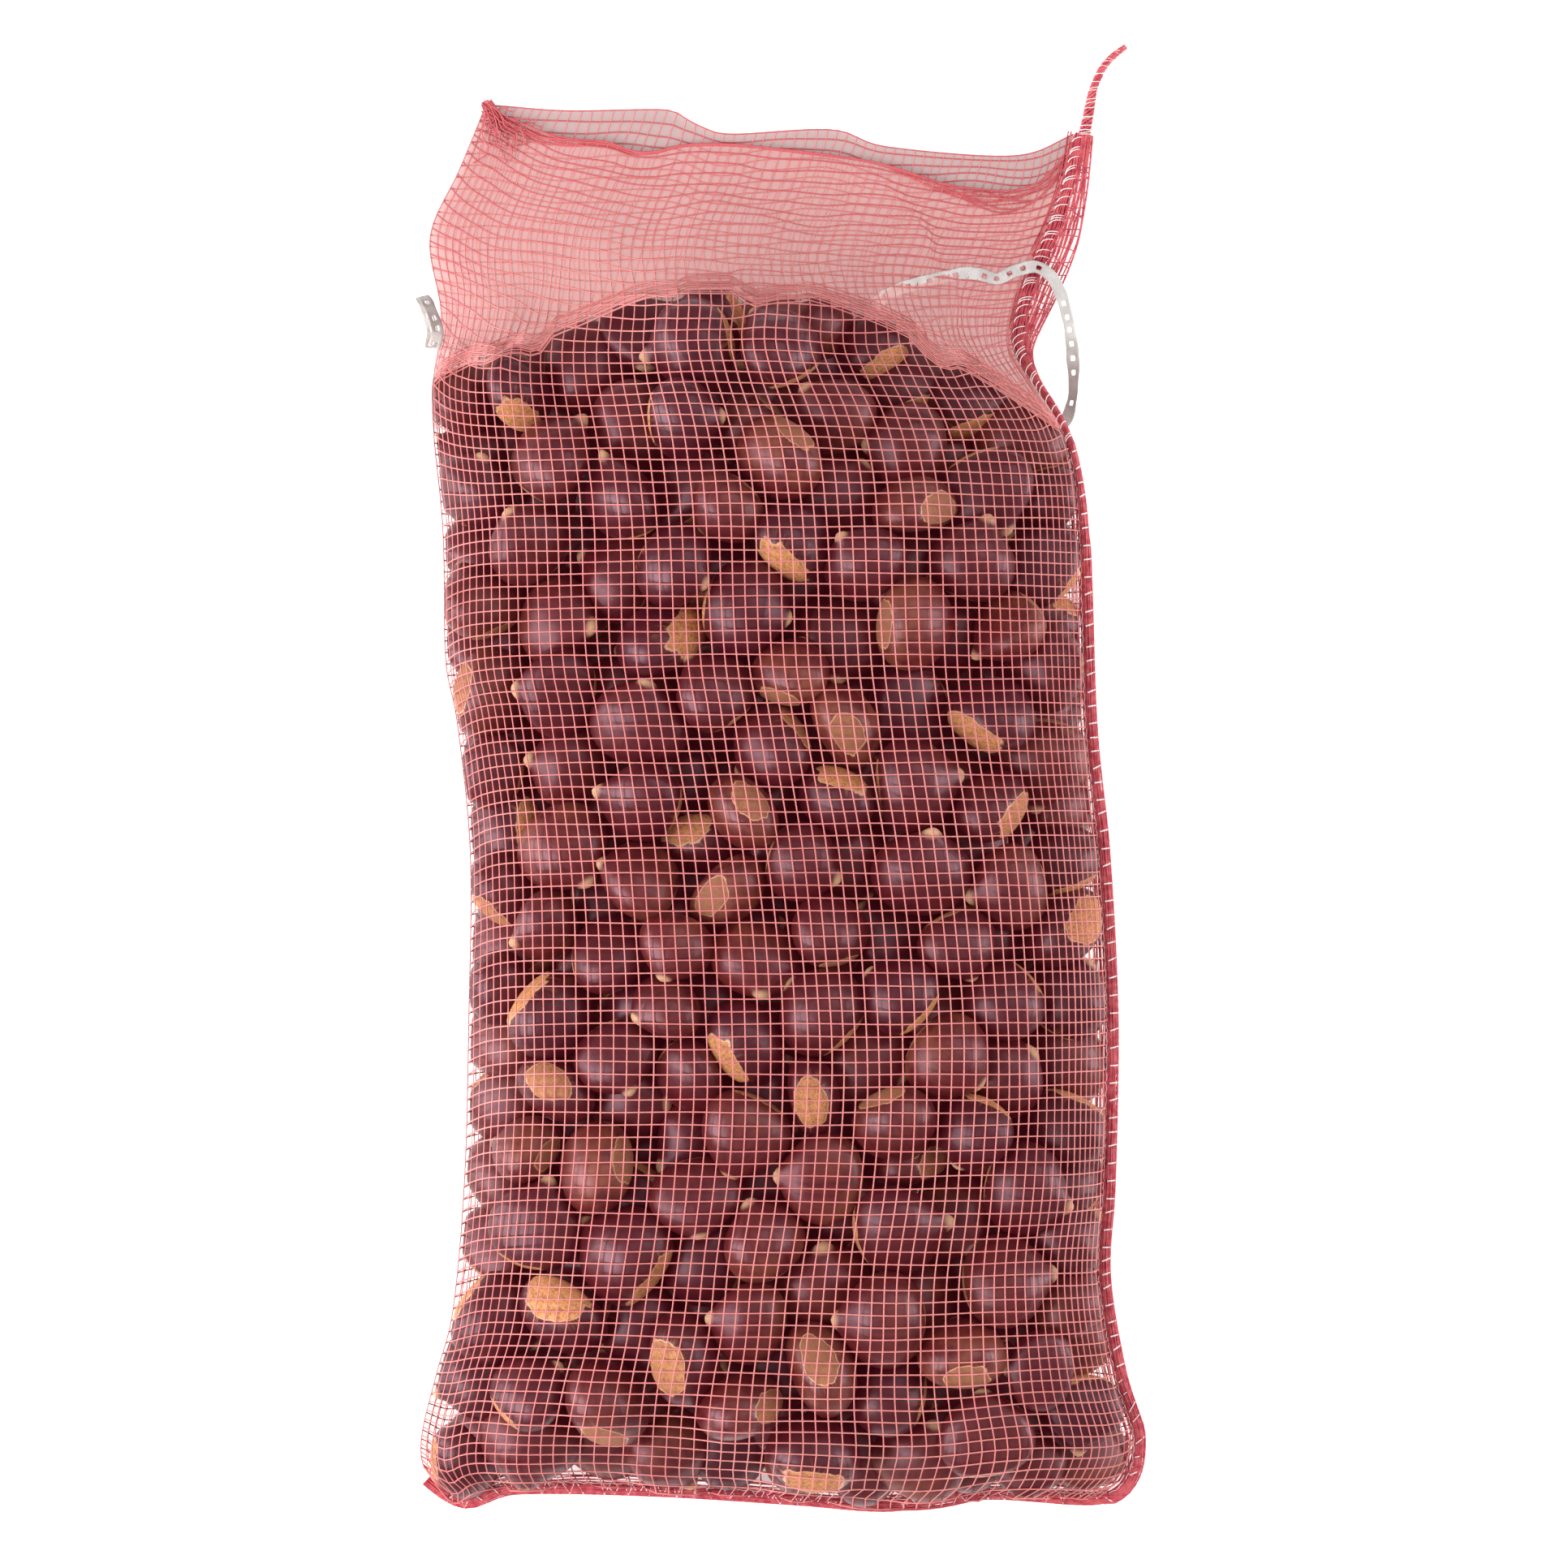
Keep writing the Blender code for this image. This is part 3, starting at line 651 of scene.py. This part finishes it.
def touching(x, y, side):
    """How high (or low) the net must lie to clear the nuts at points x, y."""
    cells = outermost(np.vstack(nut_points), side)
    column = np.round(x - HEAP_CORNER[0]).astype(int).clip(0, cells.shape[1] - 1)
    row = np.round(y - HEAP_CORNER[1]).astype(int).clip(0, cells.shape[0] - 1)
    return side * (cells[row, column] + CLEAR_OF_NUT)


def crest_of_nuts():
    """The heap's upper edge as its nuts make it, scalloped, as y for x."""
    points = np.vstack(nut_points)
    points = points[points[:, 2] > CREST_ABOVE]
    bins = np.arange(-126, 127, 1.5)
    crest = heap_top(bins) - CREST_DEPTH
    np.maximum.at(crest, np.digitize(points[:, 0], bins).clip(0, len(bins) - 1), points[:, 1])
    blur = bump(np.arange(-4, 5), 2.2)
    crest = np.convolve(np.pad(crest, 4, "edge"), blur / blur.sum(), "valid")
    return lambda x: np.interp(x, bins, np.minimum(crest + 1, heap_top(bins) + 1))


def crossings(hem, front):
    """Where the threads cross, from above: rows of the weft, columns of the warp."""
    u = np.linspace(0, 1, WARPS)
    high = HIGH_LEVEL[front]
    fine = np.linspace(LOW_LEVEL, high, 1000)
    passed = np.cumsum(1 / weft_spacing(fine)) * (fine[1] - fine[0])
    level = np.interp(np.linspace(passed[0], passed[-1], round(passed[-1])), passed, fine)[:, None]
    y = level + 0 * u
    for _ in range(LEVEL_ROUNDS):
        x = folded_side(y) + (stitch_line(y) - folded_side(y)) * u
        y = (level + (net_foot(x) - LOW_LEVEL) * np.exp((LOW_LEVEL - level) / FOOT_BLEND)
             + (hem(x) - high) * np.exp((level - high) / HEM_BLEND))
    below = hem(x) - y
    hem_depth = HEM_DEPTH + (HEM_WIDENS * rise(20, 80, x) if front else 0)
    y = y + HEM_PULL * below * bump(below, hem_depth)
    above = y - (heap_crest(x) if front else heap_top(x))
    y = y - CREST_PULL[front] * above * bump(above, CREST_REACH)
    slack = rise(*SLACK_SPAN, y - heap_top(x))
    reach = (stitch_line(y) - folded_side(y)) * u
    bowed = left_bow(y) * np.exp(-reach / (EDGE_REACH + SLACK_REACH * slack))
    y = y + bowed * (1 if front else 0.2)
    y = np.minimum(y, hem(x))
    at_seam = np.exp(-(reach[:, -1:] - reach) / EDGE_REACH)
    y = y + SEAM_LIFT * bump(y - SEAM_LIFT_AT, SEAM_LIFT_SPAN) * at_seam
    lean = LEAN * bump(y - LEAN_AT, LEAN_SPAN) - 5 * slack * (1 if front else -0.4)
    crowded = np.sin(2 * math.pi * u) + 0.25 * np.sin(4 * math.pi * u)
    share = u - EDGE_PINCH * (1 - 0.6 * slack) * crowded / (2 * math.pi)
    x = folded_side(y) + (stitch_line(y) - folded_side(y)) * share + lean * np.sin(math.pi * u)
    return disturbed(x, y, slack, hem, 1 if front else 2)


def beside(x, y, start, end):
    """How far points lie off a wrinkle's line and along it, with its length and its way."""
    way_x, way_y = end[0] - start[0], end[1] - start[1]
    length = math.hypot(way_x, way_y)
    from_x, from_y = x - start[0], y - start[1]
    off = (from_x * way_y - from_y * way_x) / length
    run = (from_x * way_x + from_y * way_y) / length
    return off, run, length, way_x, way_y


def disturbed(x, y, slack, hem, phase):
    """Add the slack collar's waves and wrinkles, the body's slight drift, and the corner knot."""
    inside = np.minimum(x - folded_side(y), stitch_line(y) - x)
    free = rise(0, 12, inside) * rise(0, 8, hem(x) - y) * rise(0, 12, y - bottom_seam(x))
    wave = lambda a, b, c: np.sin(2 * math.pi * (x / a + y / b) + c * phase)
    dx = 0.2 * wave(52, 75, 1.3) + slack * (0.7 * wave(38, -60, 2.1) + 0.35 * wave(-21, 34, 0.7))
    dy = 0.2 * wave(-61, 49, 0.4) + slack * (0.9 * wave(58, 90, 2.6) + 0.3 * wave(-26, 40, 1.9))
    for start, end, pull, width in WRINKLES:
        off, run, length, way_x, way_y = beside(x, y, start, end)
        gather = -pull * off / width * bump(off, width)
        gather = gather * rise(-10, 4, run) * rise(-10, 4, length - run)
        gather = gather * (1 if phase == 1 else 0.4)
        dx = dx + gather * way_y / length * slack
        dy = dy - gather * way_x / length * slack
    x, y = x + dx * free, y + dy * free
    pull = KNOT_PULL * np.exp(-np.hypot(x - KNOT[0], y - KNOT[1]) / KNOT_REACH)
    return x + (KNOT[0] - x) * pull, y + (KNOT[1] - y) * pull


def wrinkle_height(x, y):
    """How far the wrinkles lift the collar's front off its back."""
    height = 0 * x
    for start, end, pull, width in WRINKLES:
        off, run, length, *_ = beside(x, y, start, end)
        height = np.maximum(height, WRINKLE_LIFT * pull * bump(off, width) * rise(-12, 6, run)
                            * rise(-12, 6, length - run))
    return height


def under_tape(x, y):
    """The collar's front covers the loop's first stretch, and carries the rest."""
    height = np.full(x.shape, FAR_BELOW)
    for point, run in zip(right_line[::3], run_along(right_line)[::3]):
        near = np.hypot(x - point[0], y - point[1]) < TAPE_WIDTH / 2 + 1
        lift = OVER_TAPE if run < TAPE_HIDDEN else UNDER_TAPE
        height[near] = np.maximum(height[near], point[2] + lift)
    return height


def tightened(x, y, side, floor):
    """The net's heights once it is pulled taut over what it touches, its edges held."""
    z = edge_height(y) + side * OVER_BAND * (y < bottom_seam(x) + 1)
    inner = (slice(1, -1), slice(1, -1))
    weight = np.where(y > heap_top(x), COLLAR_WEIGHT, NET_WEIGHT)[inner]
    touched = touching(x, y, side)
    for _ in range(TIGHTEN_ROUNDS):
        spread = (z[2:, 1:-1] + z[:-2, 1:-1] + z[1:-1, 2:] + z[1:-1, :-2]) / 4 - weight
        z[inner] = np.maximum(spread, floor[inner])
        z[inner] = side * np.maximum(side * z[inner], side * touched[inner])
    return np.stack([x, y, z], axis=2)


def thread_run(data, points, width):
    """One thread as a thin tube through the crossings it passes, thickest at each."""
    spline = data.splines.new("POLY")
    fine = np.empty((2 * len(points) - 1, 4))
    fine[::2] = np.column_stack([points * MM, np.zeros(len(points)) + width])
    fine[1::2] = (fine[2::2] + fine[:-1:2]) / 2
    swell = np.where(np.arange(len(fine)) % 2, 0.92, 1.1) * fine[:, 3] / WARP_WIDTH
    fine[:, 3] = 1
    spline.points.add(len(fine) - 1)
    spline.points.foreach_set("co", fine.ravel())
    spline.points.foreach_set("radius", swell)


def make_threads(name, runs, finish):
    """A curve that holds many threads, each given as its points and its width."""
    data = bpy.data.curves.new(name, "CURVE")
    data.dimensions = "3D"
    data.bevel_depth = WARP_WIDTH / 2 * MM
    data.bevel_resolution = 0
    data.use_fill_caps = True
    data.render_resolution_u = 0
    for points, width in runs:
        thread_run(data, np.asarray(points), width)
    return add_piece(name, data, finish)


def over_foot(points):
    """The row that carries the net over the nuts which bulge past the seam."""
    row = points[:1].copy()
    row[..., 1] += 0.5
    row[..., 2] = np.maximum(row[..., 2], touching(row[..., 0], row[..., 1] + 1.2, 1))
    return np.concatenate([points[:1], row, points[1:]])


def net_finish(name, slack):
    """Drawn plastic thread: salmon where stretched over the nuts, redder where it is slack."""
    material, shader, paint = new_finish(name)
    place = paint.node("ShaderNodeTexCoord", {}, {}, 3)
    cloud, fibre = place.noise(14.0), place.noise(900.0)
    height = paint.node("ShaderNodeSeparateXYZ", {}, {0: place}, 2)
    taut = cloud.step(0.35, 0.65).mixed(linear(202, 116, 114), linear(212, 130, 126))
    colour = (height + cloud * 0.01).step(0.008, 0.032).mixed(slack, taut)
    colour = (fibre.step(0.45, 0.7) * 0.25).mixed(colour, linear(198, 90, 92))
    paint.fill(shader, {"Base Color": colour, "Roughness": 0.5})
    return material


def make_painted_haze(name, points, lowest, margin, colour, density, glow):
    """Painted light and shade in the collar's cells: the net's pink shadow, and a pink glow.

    It goes down to a height above the heap's top, and as a thinner margin under the heap's rim."""
    shape = bmesh.new()
    thickness = shape.verts.layers.float.new("haze_opacity")
    bmesh.ops.create_grid(shape, x_segments=WARPS - 1, y_segments=len(points) - 1, size=1)
    for vert in shape.verts:
        row = points[round((vert.co.y + 1) / 2 * (len(points) - 1))]
        vert.co = row[round((vert.co.x + 1) / 2 * (WARPS - 1))]
        vert.co.z -= 0.25
        in_collar = vert.co.y > heap_top(vert.co.x) + lowest
        vert[thickness] = density if in_collar else EDGE_HAZE
    under_heap = []
    for face in shape.faces:
        x, y, z = face.calc_center_median()
        inset = min(x - folded_side(y), stitch_line(y) - x, y - net_foot(x))
        if y < heap_crest(x) + lowest and (inset > margin or z > EDGE_HAZE_TOP):
            under_heap.append(face)
    bmesh.ops.delete(shape, geom=under_heap, context="FACES")
    material, shader, paint = new_finish(name)
    thin = paint.node("ShaderNodeAttribute", {"attribute_name": "haze_opacity"}, output=2)
    paint.fill(shader, {"Base Color": colour, "Roughness": 0.9, "Alpha": thin,
                        "Emission Color": colour, "Emission Strength": glow})
    add_piece(name, metre_mesh(name, shape), material)


def swaying(rng, at, shortest, longest):
    """The uneven sway of a thread at places along it, from -1 to 1."""
    return np.sin(at / rng.uniform(shortest, longest) + rng.uniform(0, 6))


def hem_runs(points):
    """The front hem's own threads: bunched at the knot, spread towards the sewn side."""
    rng = np.random.default_rng(SEED)
    hem_row = points[-1]
    spread = 3.8 * bump(hem_row[:, 0] + 103, 36) + 0.5 + 6 * rise(30, 78, hem_row[:, 0])
    runs = []
    for share in np.linspace(0, 1, HEM_THREADS):
        line = hem_row.copy()
        wander = 0.2 * spread * swaying(rng, line[:, 0], 3, 8)
        line[:, 1] -= share * spread + wander * (share > 0)
        line[:, 2] += 0.35 * (1 - share)
        runs.append((line, WEFT_WIDTH))
    return runs


def knot_runs():
    """The tangled strands that run out of the corner knot into both hems."""
    rng = np.random.default_rng(SEED)
    runs = []
    for _ in range(KNOT_STRANDS):
        angle, length = math.radians(rng.uniform(-75, -12)), rng.uniform(6, 21)
        along_run = np.linspace(0, 1, 8)
        bent = angle + rng.uniform(-0.4, 0.4) * along_run
        bent = bent + rng.uniform(0.05, 0.16) * np.sin(along_run * rng.uniform(8, 14))
        start = np.array(KNOT) + rng.normal(0, 1, 2)
        runs.append((np.column_stack([start[0] + length * along_run * np.cos(bent),
                                      start[1] + length * along_run * np.sin(bent),
                                      2.4 + rng.uniform(0, 1.4) - 0.6 * along_run]),
                     WEFT_WIDTH * 0.85))
    for _ in range(KNOT_LOOPS):
        turn = np.linspace(0, 2 * math.pi, 12) + rng.uniform(0, 6)
        size = rng.uniform(1.2, 2.4)
        runs.append((np.column_stack([KNOT[0] + 0.8 + size * np.cos(turn),
                                      KNOT[1] + 0.8 * size * np.sin(turn),
                                      2.6 + rng.uniform(0.4, 1) * np.sin(turn + 1)]),
                     WEFT_WIDTH))
    return runs


def contour_runs(points):
    """The wefts that crowd together where the front net comes down off the heap's top."""
    rng = np.random.default_rng(SEED)
    runs = []
    for offset in np.linspace(*CONTOUR_SPAN, CONTOUR_ROWS):
        line = []
        wander = 0.35 * swaying(rng, np.arange(WARPS), 3, 8)
        for column in range(1, WARPS - 1):
            x, y, z = points[:, column].T
            at = 150.0
            for _ in range(4):
                at = heap_crest(np.interp(at, y, x)) + offset
            at = at + wander[column]
            line.append((np.interp(at, y, x), at, np.interp(at, y, z) + 0.15))
        runs.append((np.array(line), WEFT_WIDTH * 0.9))
    return runs


heap_crest = crest_of_nuts()
back_x, back_y = crossings(back_hem, False)
back_net = tightened(back_x, back_y, -1, np.full(back_x.shape, OVER_TABLE))
front_x, front_y = crossings(front_hem, True)
in_collar = front_y > heap_top(front_x) - 4
over_back = OVER_TABLE + BETWEEN_LAYERS + wrinkle_height(front_x, front_y)
front_floor = np.where(in_collar, over_back, FAR_BELOW)
front_floor = np.maximum(front_floor, under_tape(front_x, front_y))
front_net = over_foot(tightened(front_x, front_y, 1, front_floor))
warp_net = net_finish("red_warp", linear(210, 130, 130))
weft_net = net_finish("red_weft", linear(196, 90, 96))
for layer, points in (("front", front_net), ("back", back_net)):
    slackness = rise(-4, 12, points[..., 1] - heap_top(points[..., 0]))
    thinned = WARP_WIDTH * (1 - THINNER[layer] * slackness)
    warps = [(points[:, i], thinned[:, i]) for i in range(WARPS)]
    wefts = [(row, WEFT_WIDTH * (1 - 0.1 * slack)) for row, slack in zip(points, slackness)]
    if layer == "front":
        wefts += hem_runs(points) + knot_runs() + contour_runs(points)
    warp_piece = make_threads(f"net_{layer}_warp", warps, warp_net)
    make_threads(f"net_{layer}_weft", wefts, weft_net)
    if layer == "front":
        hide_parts("net_of_chestnuts")
# Painted shadow: the net's pink shade on the table in the collar, and a thin margin under the
# heap's rim.
make_painted_haze("net_back_painted_shadow", back_net, -16, HAZE_MARGIN, linear(154, 114, 111), 0.7, 0)
# Painted light: a pink veil over the collar that glows with its own light.
make_painted_haze("net_front_painted_glow", front_net, 0, -9, linear(234, 162, 158), 0.32, 0.42)


# The overlocked seam
# Both layers' edges gathered into a crimson band down the right side and along the bottom, bound
# with white thread. At the mouth the gathered edge is left wide, and ends in a twisted tail.
band_width = along([(-250, 4), (40, 3.8), (86, 3), (111, 2.2), (137, 2.4), (151, 7), (172, 11.6),
                    (188, 11), (205, 8), (224, 5.6)])
BOTTOM_BAND_WIDTH = 4
BAND_THICKNESS = 2
SEAM_TAIL = [(106.4, 232.3, 4.2), (107.6, 238.6, 3.4), (109.4, 243.4, 3), (111.6, 247.4, 2.6),
             (115, 251, 2.2), (119, 254, 1.5)]
TURNED_CORNER = [(121, -233), (120, -239.5), (117, -245), (112.5, -248.2)]
STEP = 1.2
core_share = along([(-250, 0.86), (100, 0.8), (140, 0.8), (165, 0.36), (200, 0.38), (224, 0.7)])
CORE_SECTION = [(-0.12, 0), (0.1, 0.9), (0.5, 1), (0.9, 0.7), (1, 0), (0.9, -0.7), (0.5, -1),
                (0.1, -0.9)]
GATHERED, INSIDE_STITCHES = 22, [(-2.6, 0.5), (-1.8, 0.9), (-1.0, 1.1)]
THREAD_OF_BAND, THREAD_OF_STITCH = 0.5, 0.36
STITCH_PITCH, ARC_PITCH = 5.5, 3.4
ARC_FROM, PAIRS_BELOW = 112, -205
TAIL_STEP = 0.3


def seam_line():
    """The stitch line as even stations: place, way outward, width and height of the band."""
    side = smooth_line([(stitch_line(y), y) for y in np.arange(224, -232, -6)], 5)
    end = smooth_line([(x, bottom_seam(x)) for x in np.arange(112, -124, -6)], 5)
    edge = smooth_line(np.vstack([side, TURNED_CORNER, end]), STEP)
    heading = unit(np.gradient(edge, axis=0))
    outward = np.column_stack([-heading[:, 1], heading[:, 0]])
    at_side = edge[:, 1] > -235
    width = np.where(at_side, band_width(edge[:, 1]), BOTTOM_BAND_WIDTH)
    core = np.where(at_side, core_share(edge[:, 1]), 0.86)
    height = np.maximum(edge_height(edge[:, 1]), BAND_THICKNESS / 2 + 0.4)
    return edge, outward, width, core, height


def at_offset(share, lift):
    """A line along the band at a share of its width outward, and a lift above its middle."""
    across = seam_edge + seam_out * (share * seam_wide)[:, None]
    return np.column_stack([across, seam_high + lift])


def crimson_finish(name, low, high):
    material, shader, paint = new_finish(name)
    place = paint.node("ShaderNodeTexCoord", {}, {}, 3)
    folds = place.noise(420.0, 3.0)
    # Painted shade: the low colour lies in the folds' hollows, where the bump is low.
    colour = folds.step(0.38, 0.62).mixed(low, high)
    paint.fill(shader, {"Base Color": colour, "Roughness": 0.6,
                        "Normal": folds.relief(0.5, 0.0006)})
    return material


def make_core(rng):
    """The band's closed core: a flat lens in section, from just inside the stitches outward."""
    shape = bmesh.new()
    uneven = rng.normal(0, 0.4, len(seam_edge))
    ruffle = 1 + 0.1 * np.sin(np.arange(len(seam_edge)) * STEP / 0.75 + uneven)
    rings = []
    for share, level in CORE_SECTION:
        lines = at_offset(share * seam_core * ruffle, level * BAND_THICKNESS / 2 * 0.8 * ruffle)
        rings.append([shape.verts.new(point) for point in lines])
    for one, other in zip(rings, rings[1:] + rings[:1]):
        for i in range(len(one) - 1):
            shape.faces.new((one[i], other[i], other[i + 1], one[i + 1]))
    shape.faces.new([line[0] for line in rings])
    shape.faces.new([line[-1] for line in reversed(rings)])
    bmesh.ops.recalc_face_normals(shape, faces=shape.faces)
    shade = crimson_finish("crimson_core", linear(160, 40, 58), linear(196, 64, 80))
    core = add_piece("overlock_core", metre_mesh("overlock_core", shape), shade)
    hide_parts("overlock_seam")


def gathered_runs(rng):
    """Threads that run along the band, close together near the stitches and open at its edge."""
    travelled = np.arange(len(seam_edge)) * STEP
    runs = []
    for share in [*np.linspace(-0.1, 0.84, GATHERED), 0.92, 1.0]:
        wander = 0.035 * swaying(rng, travelled, 2, 6)
        wander += 0.03 * swaying(rng, travelled, 9, 20)
        lift = BAND_THICKNESS / 2 * (1 - (2 * share - 0.8) ** 2 * 0.6) + rng.uniform(-0.1, 0.25)
        line = at_offset(share + wander * (share < 1), lift * (share < 1) + 0.3)
        runs.append((line[::2], THREAD_OF_BAND * (1.3 if share == 1 else 1)))
    for offset, lift in INSIDE_STITCHES:
        line = np.column_stack([seam_edge + seam_out * offset, seam_high + lift])
        line[:, :2] += 0.35 * swaying(rng, travelled, 3, 7)[:, None] * seam_out
        runs.append((line[::2], THREAD_OF_BAND))
    at = 0.0
    while at < travelled[-1]:
        index = int(at / STEP)
        slant = rng.integers(-3, 4)
        other = int(np.clip(index + slant, 0, len(seam_edge) - 1))
        inner, outer = at_offset(0.3, 0.9)[index], at_offset(1.0, 0.1)[other]
        bend = (inner + outer) / 2 + [0, rng.uniform(-0.8, 0.8), 0.2]
        runs.append(([inner, bend, outer], THREAD_OF_BAND * 0.8))
        at += rng.uniform(2.2, 3.6)
    return runs


def stitch_runs(rng):
    """White arcs over the gathers at the mouth, short bars down the side, and pairs below."""
    travelled = np.arange(len(seam_edge)) * STEP
    bend = np.linspace(0, 1, 9)[:, None]
    up = np.array([0, 0, 1.0])
    runs, at = [], 2.0
    while at < travelled[-1] - 4:
        index = int(at / STEP)
        place, out = np.append(seam_edge[index], seam_high[index]), np.append(seam_out[index], 0)
        back = np.append([-seam_out[index][1], seam_out[index][0]], 0)
        wide, high = seam_wide[index], BAND_THICKNESS / 2 + 0.5
        if seam_edge[index][1] > ARC_FROM:
            reach = min(4.4, 0.6 * wide + 1.4) * rng.uniform(0.85, 1.15)
            tall = rng.uniform(2.2, 3.6)
            for twin in range(1 + (rng.random() < 0.4)):
                arc = (place - out * 0.9 - back * (twin * 0.9)
                       + out * reach * (1 - np.cos(bend * 1.7))
                       + back * tall * np.sin(bend * math.pi / 2)
                       + up * high * (1 - 0.5 * (2 * bend - 0.9) ** 4))
                runs.append((arc, THREAD_OF_STITCH))
            at += ARC_PITCH * rng.uniform(0.6, 1.4)
        elif seam_edge[index][1] > PAIRS_BELOW:
            start = place + out * (wide * 0.3) - back * 0.2 + up * (high + 0.3)
            end = place + out * (wide * 0.98) + back * rng.uniform(-0.2, 0.9) + up * 0.5
            runs.append(([start, (start + end) / 2 + up * 0.5, end], THREAD_OF_STITCH * 1.6))
            at += STITCH_PITCH * rng.uniform(0.85, 1.15)
        else:
            meet = place + out * (wide * rng.uniform(0.8, 1.02)) + up * (high - 0.9)
            for slant in (rng.uniform(-2.6, -0.8), rng.uniform(0.2, 2.2)):
                start = place + out * rng.uniform(0.1, 1.4) + back * slant + up * high
                if rng.random() < 0.8:
                    runs.append(([start, (start + meet) / 2 + up * 0.4, meet], THREAD_OF_STITCH))
            at += STITCH_PITCH * rng.uniform(0.6, 1.3)
    chain = seam_edge[:, 1] < ARC_FROM
    chain_line = np.column_stack([seam_edge, seam_high + BAND_THICKNESS / 2 + 0.2])[chain]
    sway = 0.25 * np.sin(np.arange(len(chain_line)) * 1.9)
    chain_line[:, :2] += sway[:, None] * seam_out[chain]
    runs.append((chain_line, THREAD_OF_STITCH * 0.8))
    return runs


def tail_runs(rng):
    """The tail: gathered strands twisted together, and white thread wound round them."""
    start = (seam_edge[0][0] + 2.6, seam_edge[0][1] - 1, seam_wide[0] * 0.95)
    tail = smooth_line([start, *SEAM_TAIL], TAIL_STEP)
    ahead = unit(np.gradient(tail[:, :2], axis=0))
    across = np.column_stack([-ahead[:, 1], ahead[:, 0]])
    turn = np.arange(len(tail)) * TAIL_STEP

    def wound(angle, share):
        """A line wound round the tail's middle, at a share of its radius."""
        radius = tail[:, 2] / 2 * share
        side = tail[:, :2] + across * (radius * np.cos(angle))[:, None]
        return np.column_stack([side, np.maximum(1.7 + radius * np.sin(angle), 0.6)])

    red = [(wound(turn / 1.6 + strand * math.pi / 3, 0.62), 1.05) for strand in range(6)]
    white = [(wound(turn / pitch + 2 * rng.random(), 0.94), THREAD_OF_STITCH * 0.7)
             for pitch in (0.5, 0.85)]
    return red, white


seam_rng = np.random.default_rng(SEED)
seam_edge, seam_out, seam_wide, seam_core, seam_high = seam_line()
crimson = crimson_finish("crimson_gathers", linear(184, 62, 78), linear(208, 96, 102))
make_core(seam_rng)
red_tail, white_tail = tail_runs(seam_rng)
make_threads("overlock_gathers", gathered_runs(seam_rng) + red_tail, crimson)
white_thread, white_shader, white_wire = new_finish("white_thread")
white_wire.fill(white_shader, {"Base Color": linear(248, 238, 236), "Roughness": 0.6})
make_threads("overlock_stitches", stitch_runs(seam_rng) + white_tail, white_thread)


# The table and the light
# A seamless white table, and broad soft light from all round and above.
TABLE_HALF, TABLE_GLOW, SKY_LIGHT = 4000, 0.55, 0.5
LAMPS = {"key": ((-1.15, -0.45, 1.0), 1.1, 29), "fill": ((0.9, 0.7, 1.5), 1.2, 7),
         "left": ((-1.3, 0.1, 0.3), 0.8, 13), "right": ((1.3, 0.0, 0.35), 0.8, 13)}

table_shape = bmesh.new()
bmesh.ops.create_grid(table_shape, x_segments=1, y_segments=1, size=TABLE_HALF)
table = placed("table", metre_mesh("table", table_shape))
table_paint, table_shader, table_wire = new_finish("white_table")
table_wire.fill(table_shader, {"Base Color": (0.9, 0.9, 0.9, 1), "Roughness": 0.9,
                               "Emission Color": (1, 1, 1, 1), "Emission Strength": TABLE_GLOW})
table.data.materials.append(table_paint)

world = bpy.data.worlds.new("studio")
world.use_nodes = True
world.node_tree.nodes["Background"].inputs["Color"].default_value = (1, 1, 1, 1)
world.node_tree.nodes["Background"].inputs["Strength"].default_value = SKY_LIGHT
bpy.context.scene.world = world
for name, (place, size, power) in LAMPS.items():
    light = bpy.data.lights.new(name, "AREA")
    light.size, light.energy = size, power
    lamp = placed(name, light)
    lamp.location = place
    lamp.rotation_euler = (-Vector(place)).to_track_quat("-Z", "Y").to_euler()
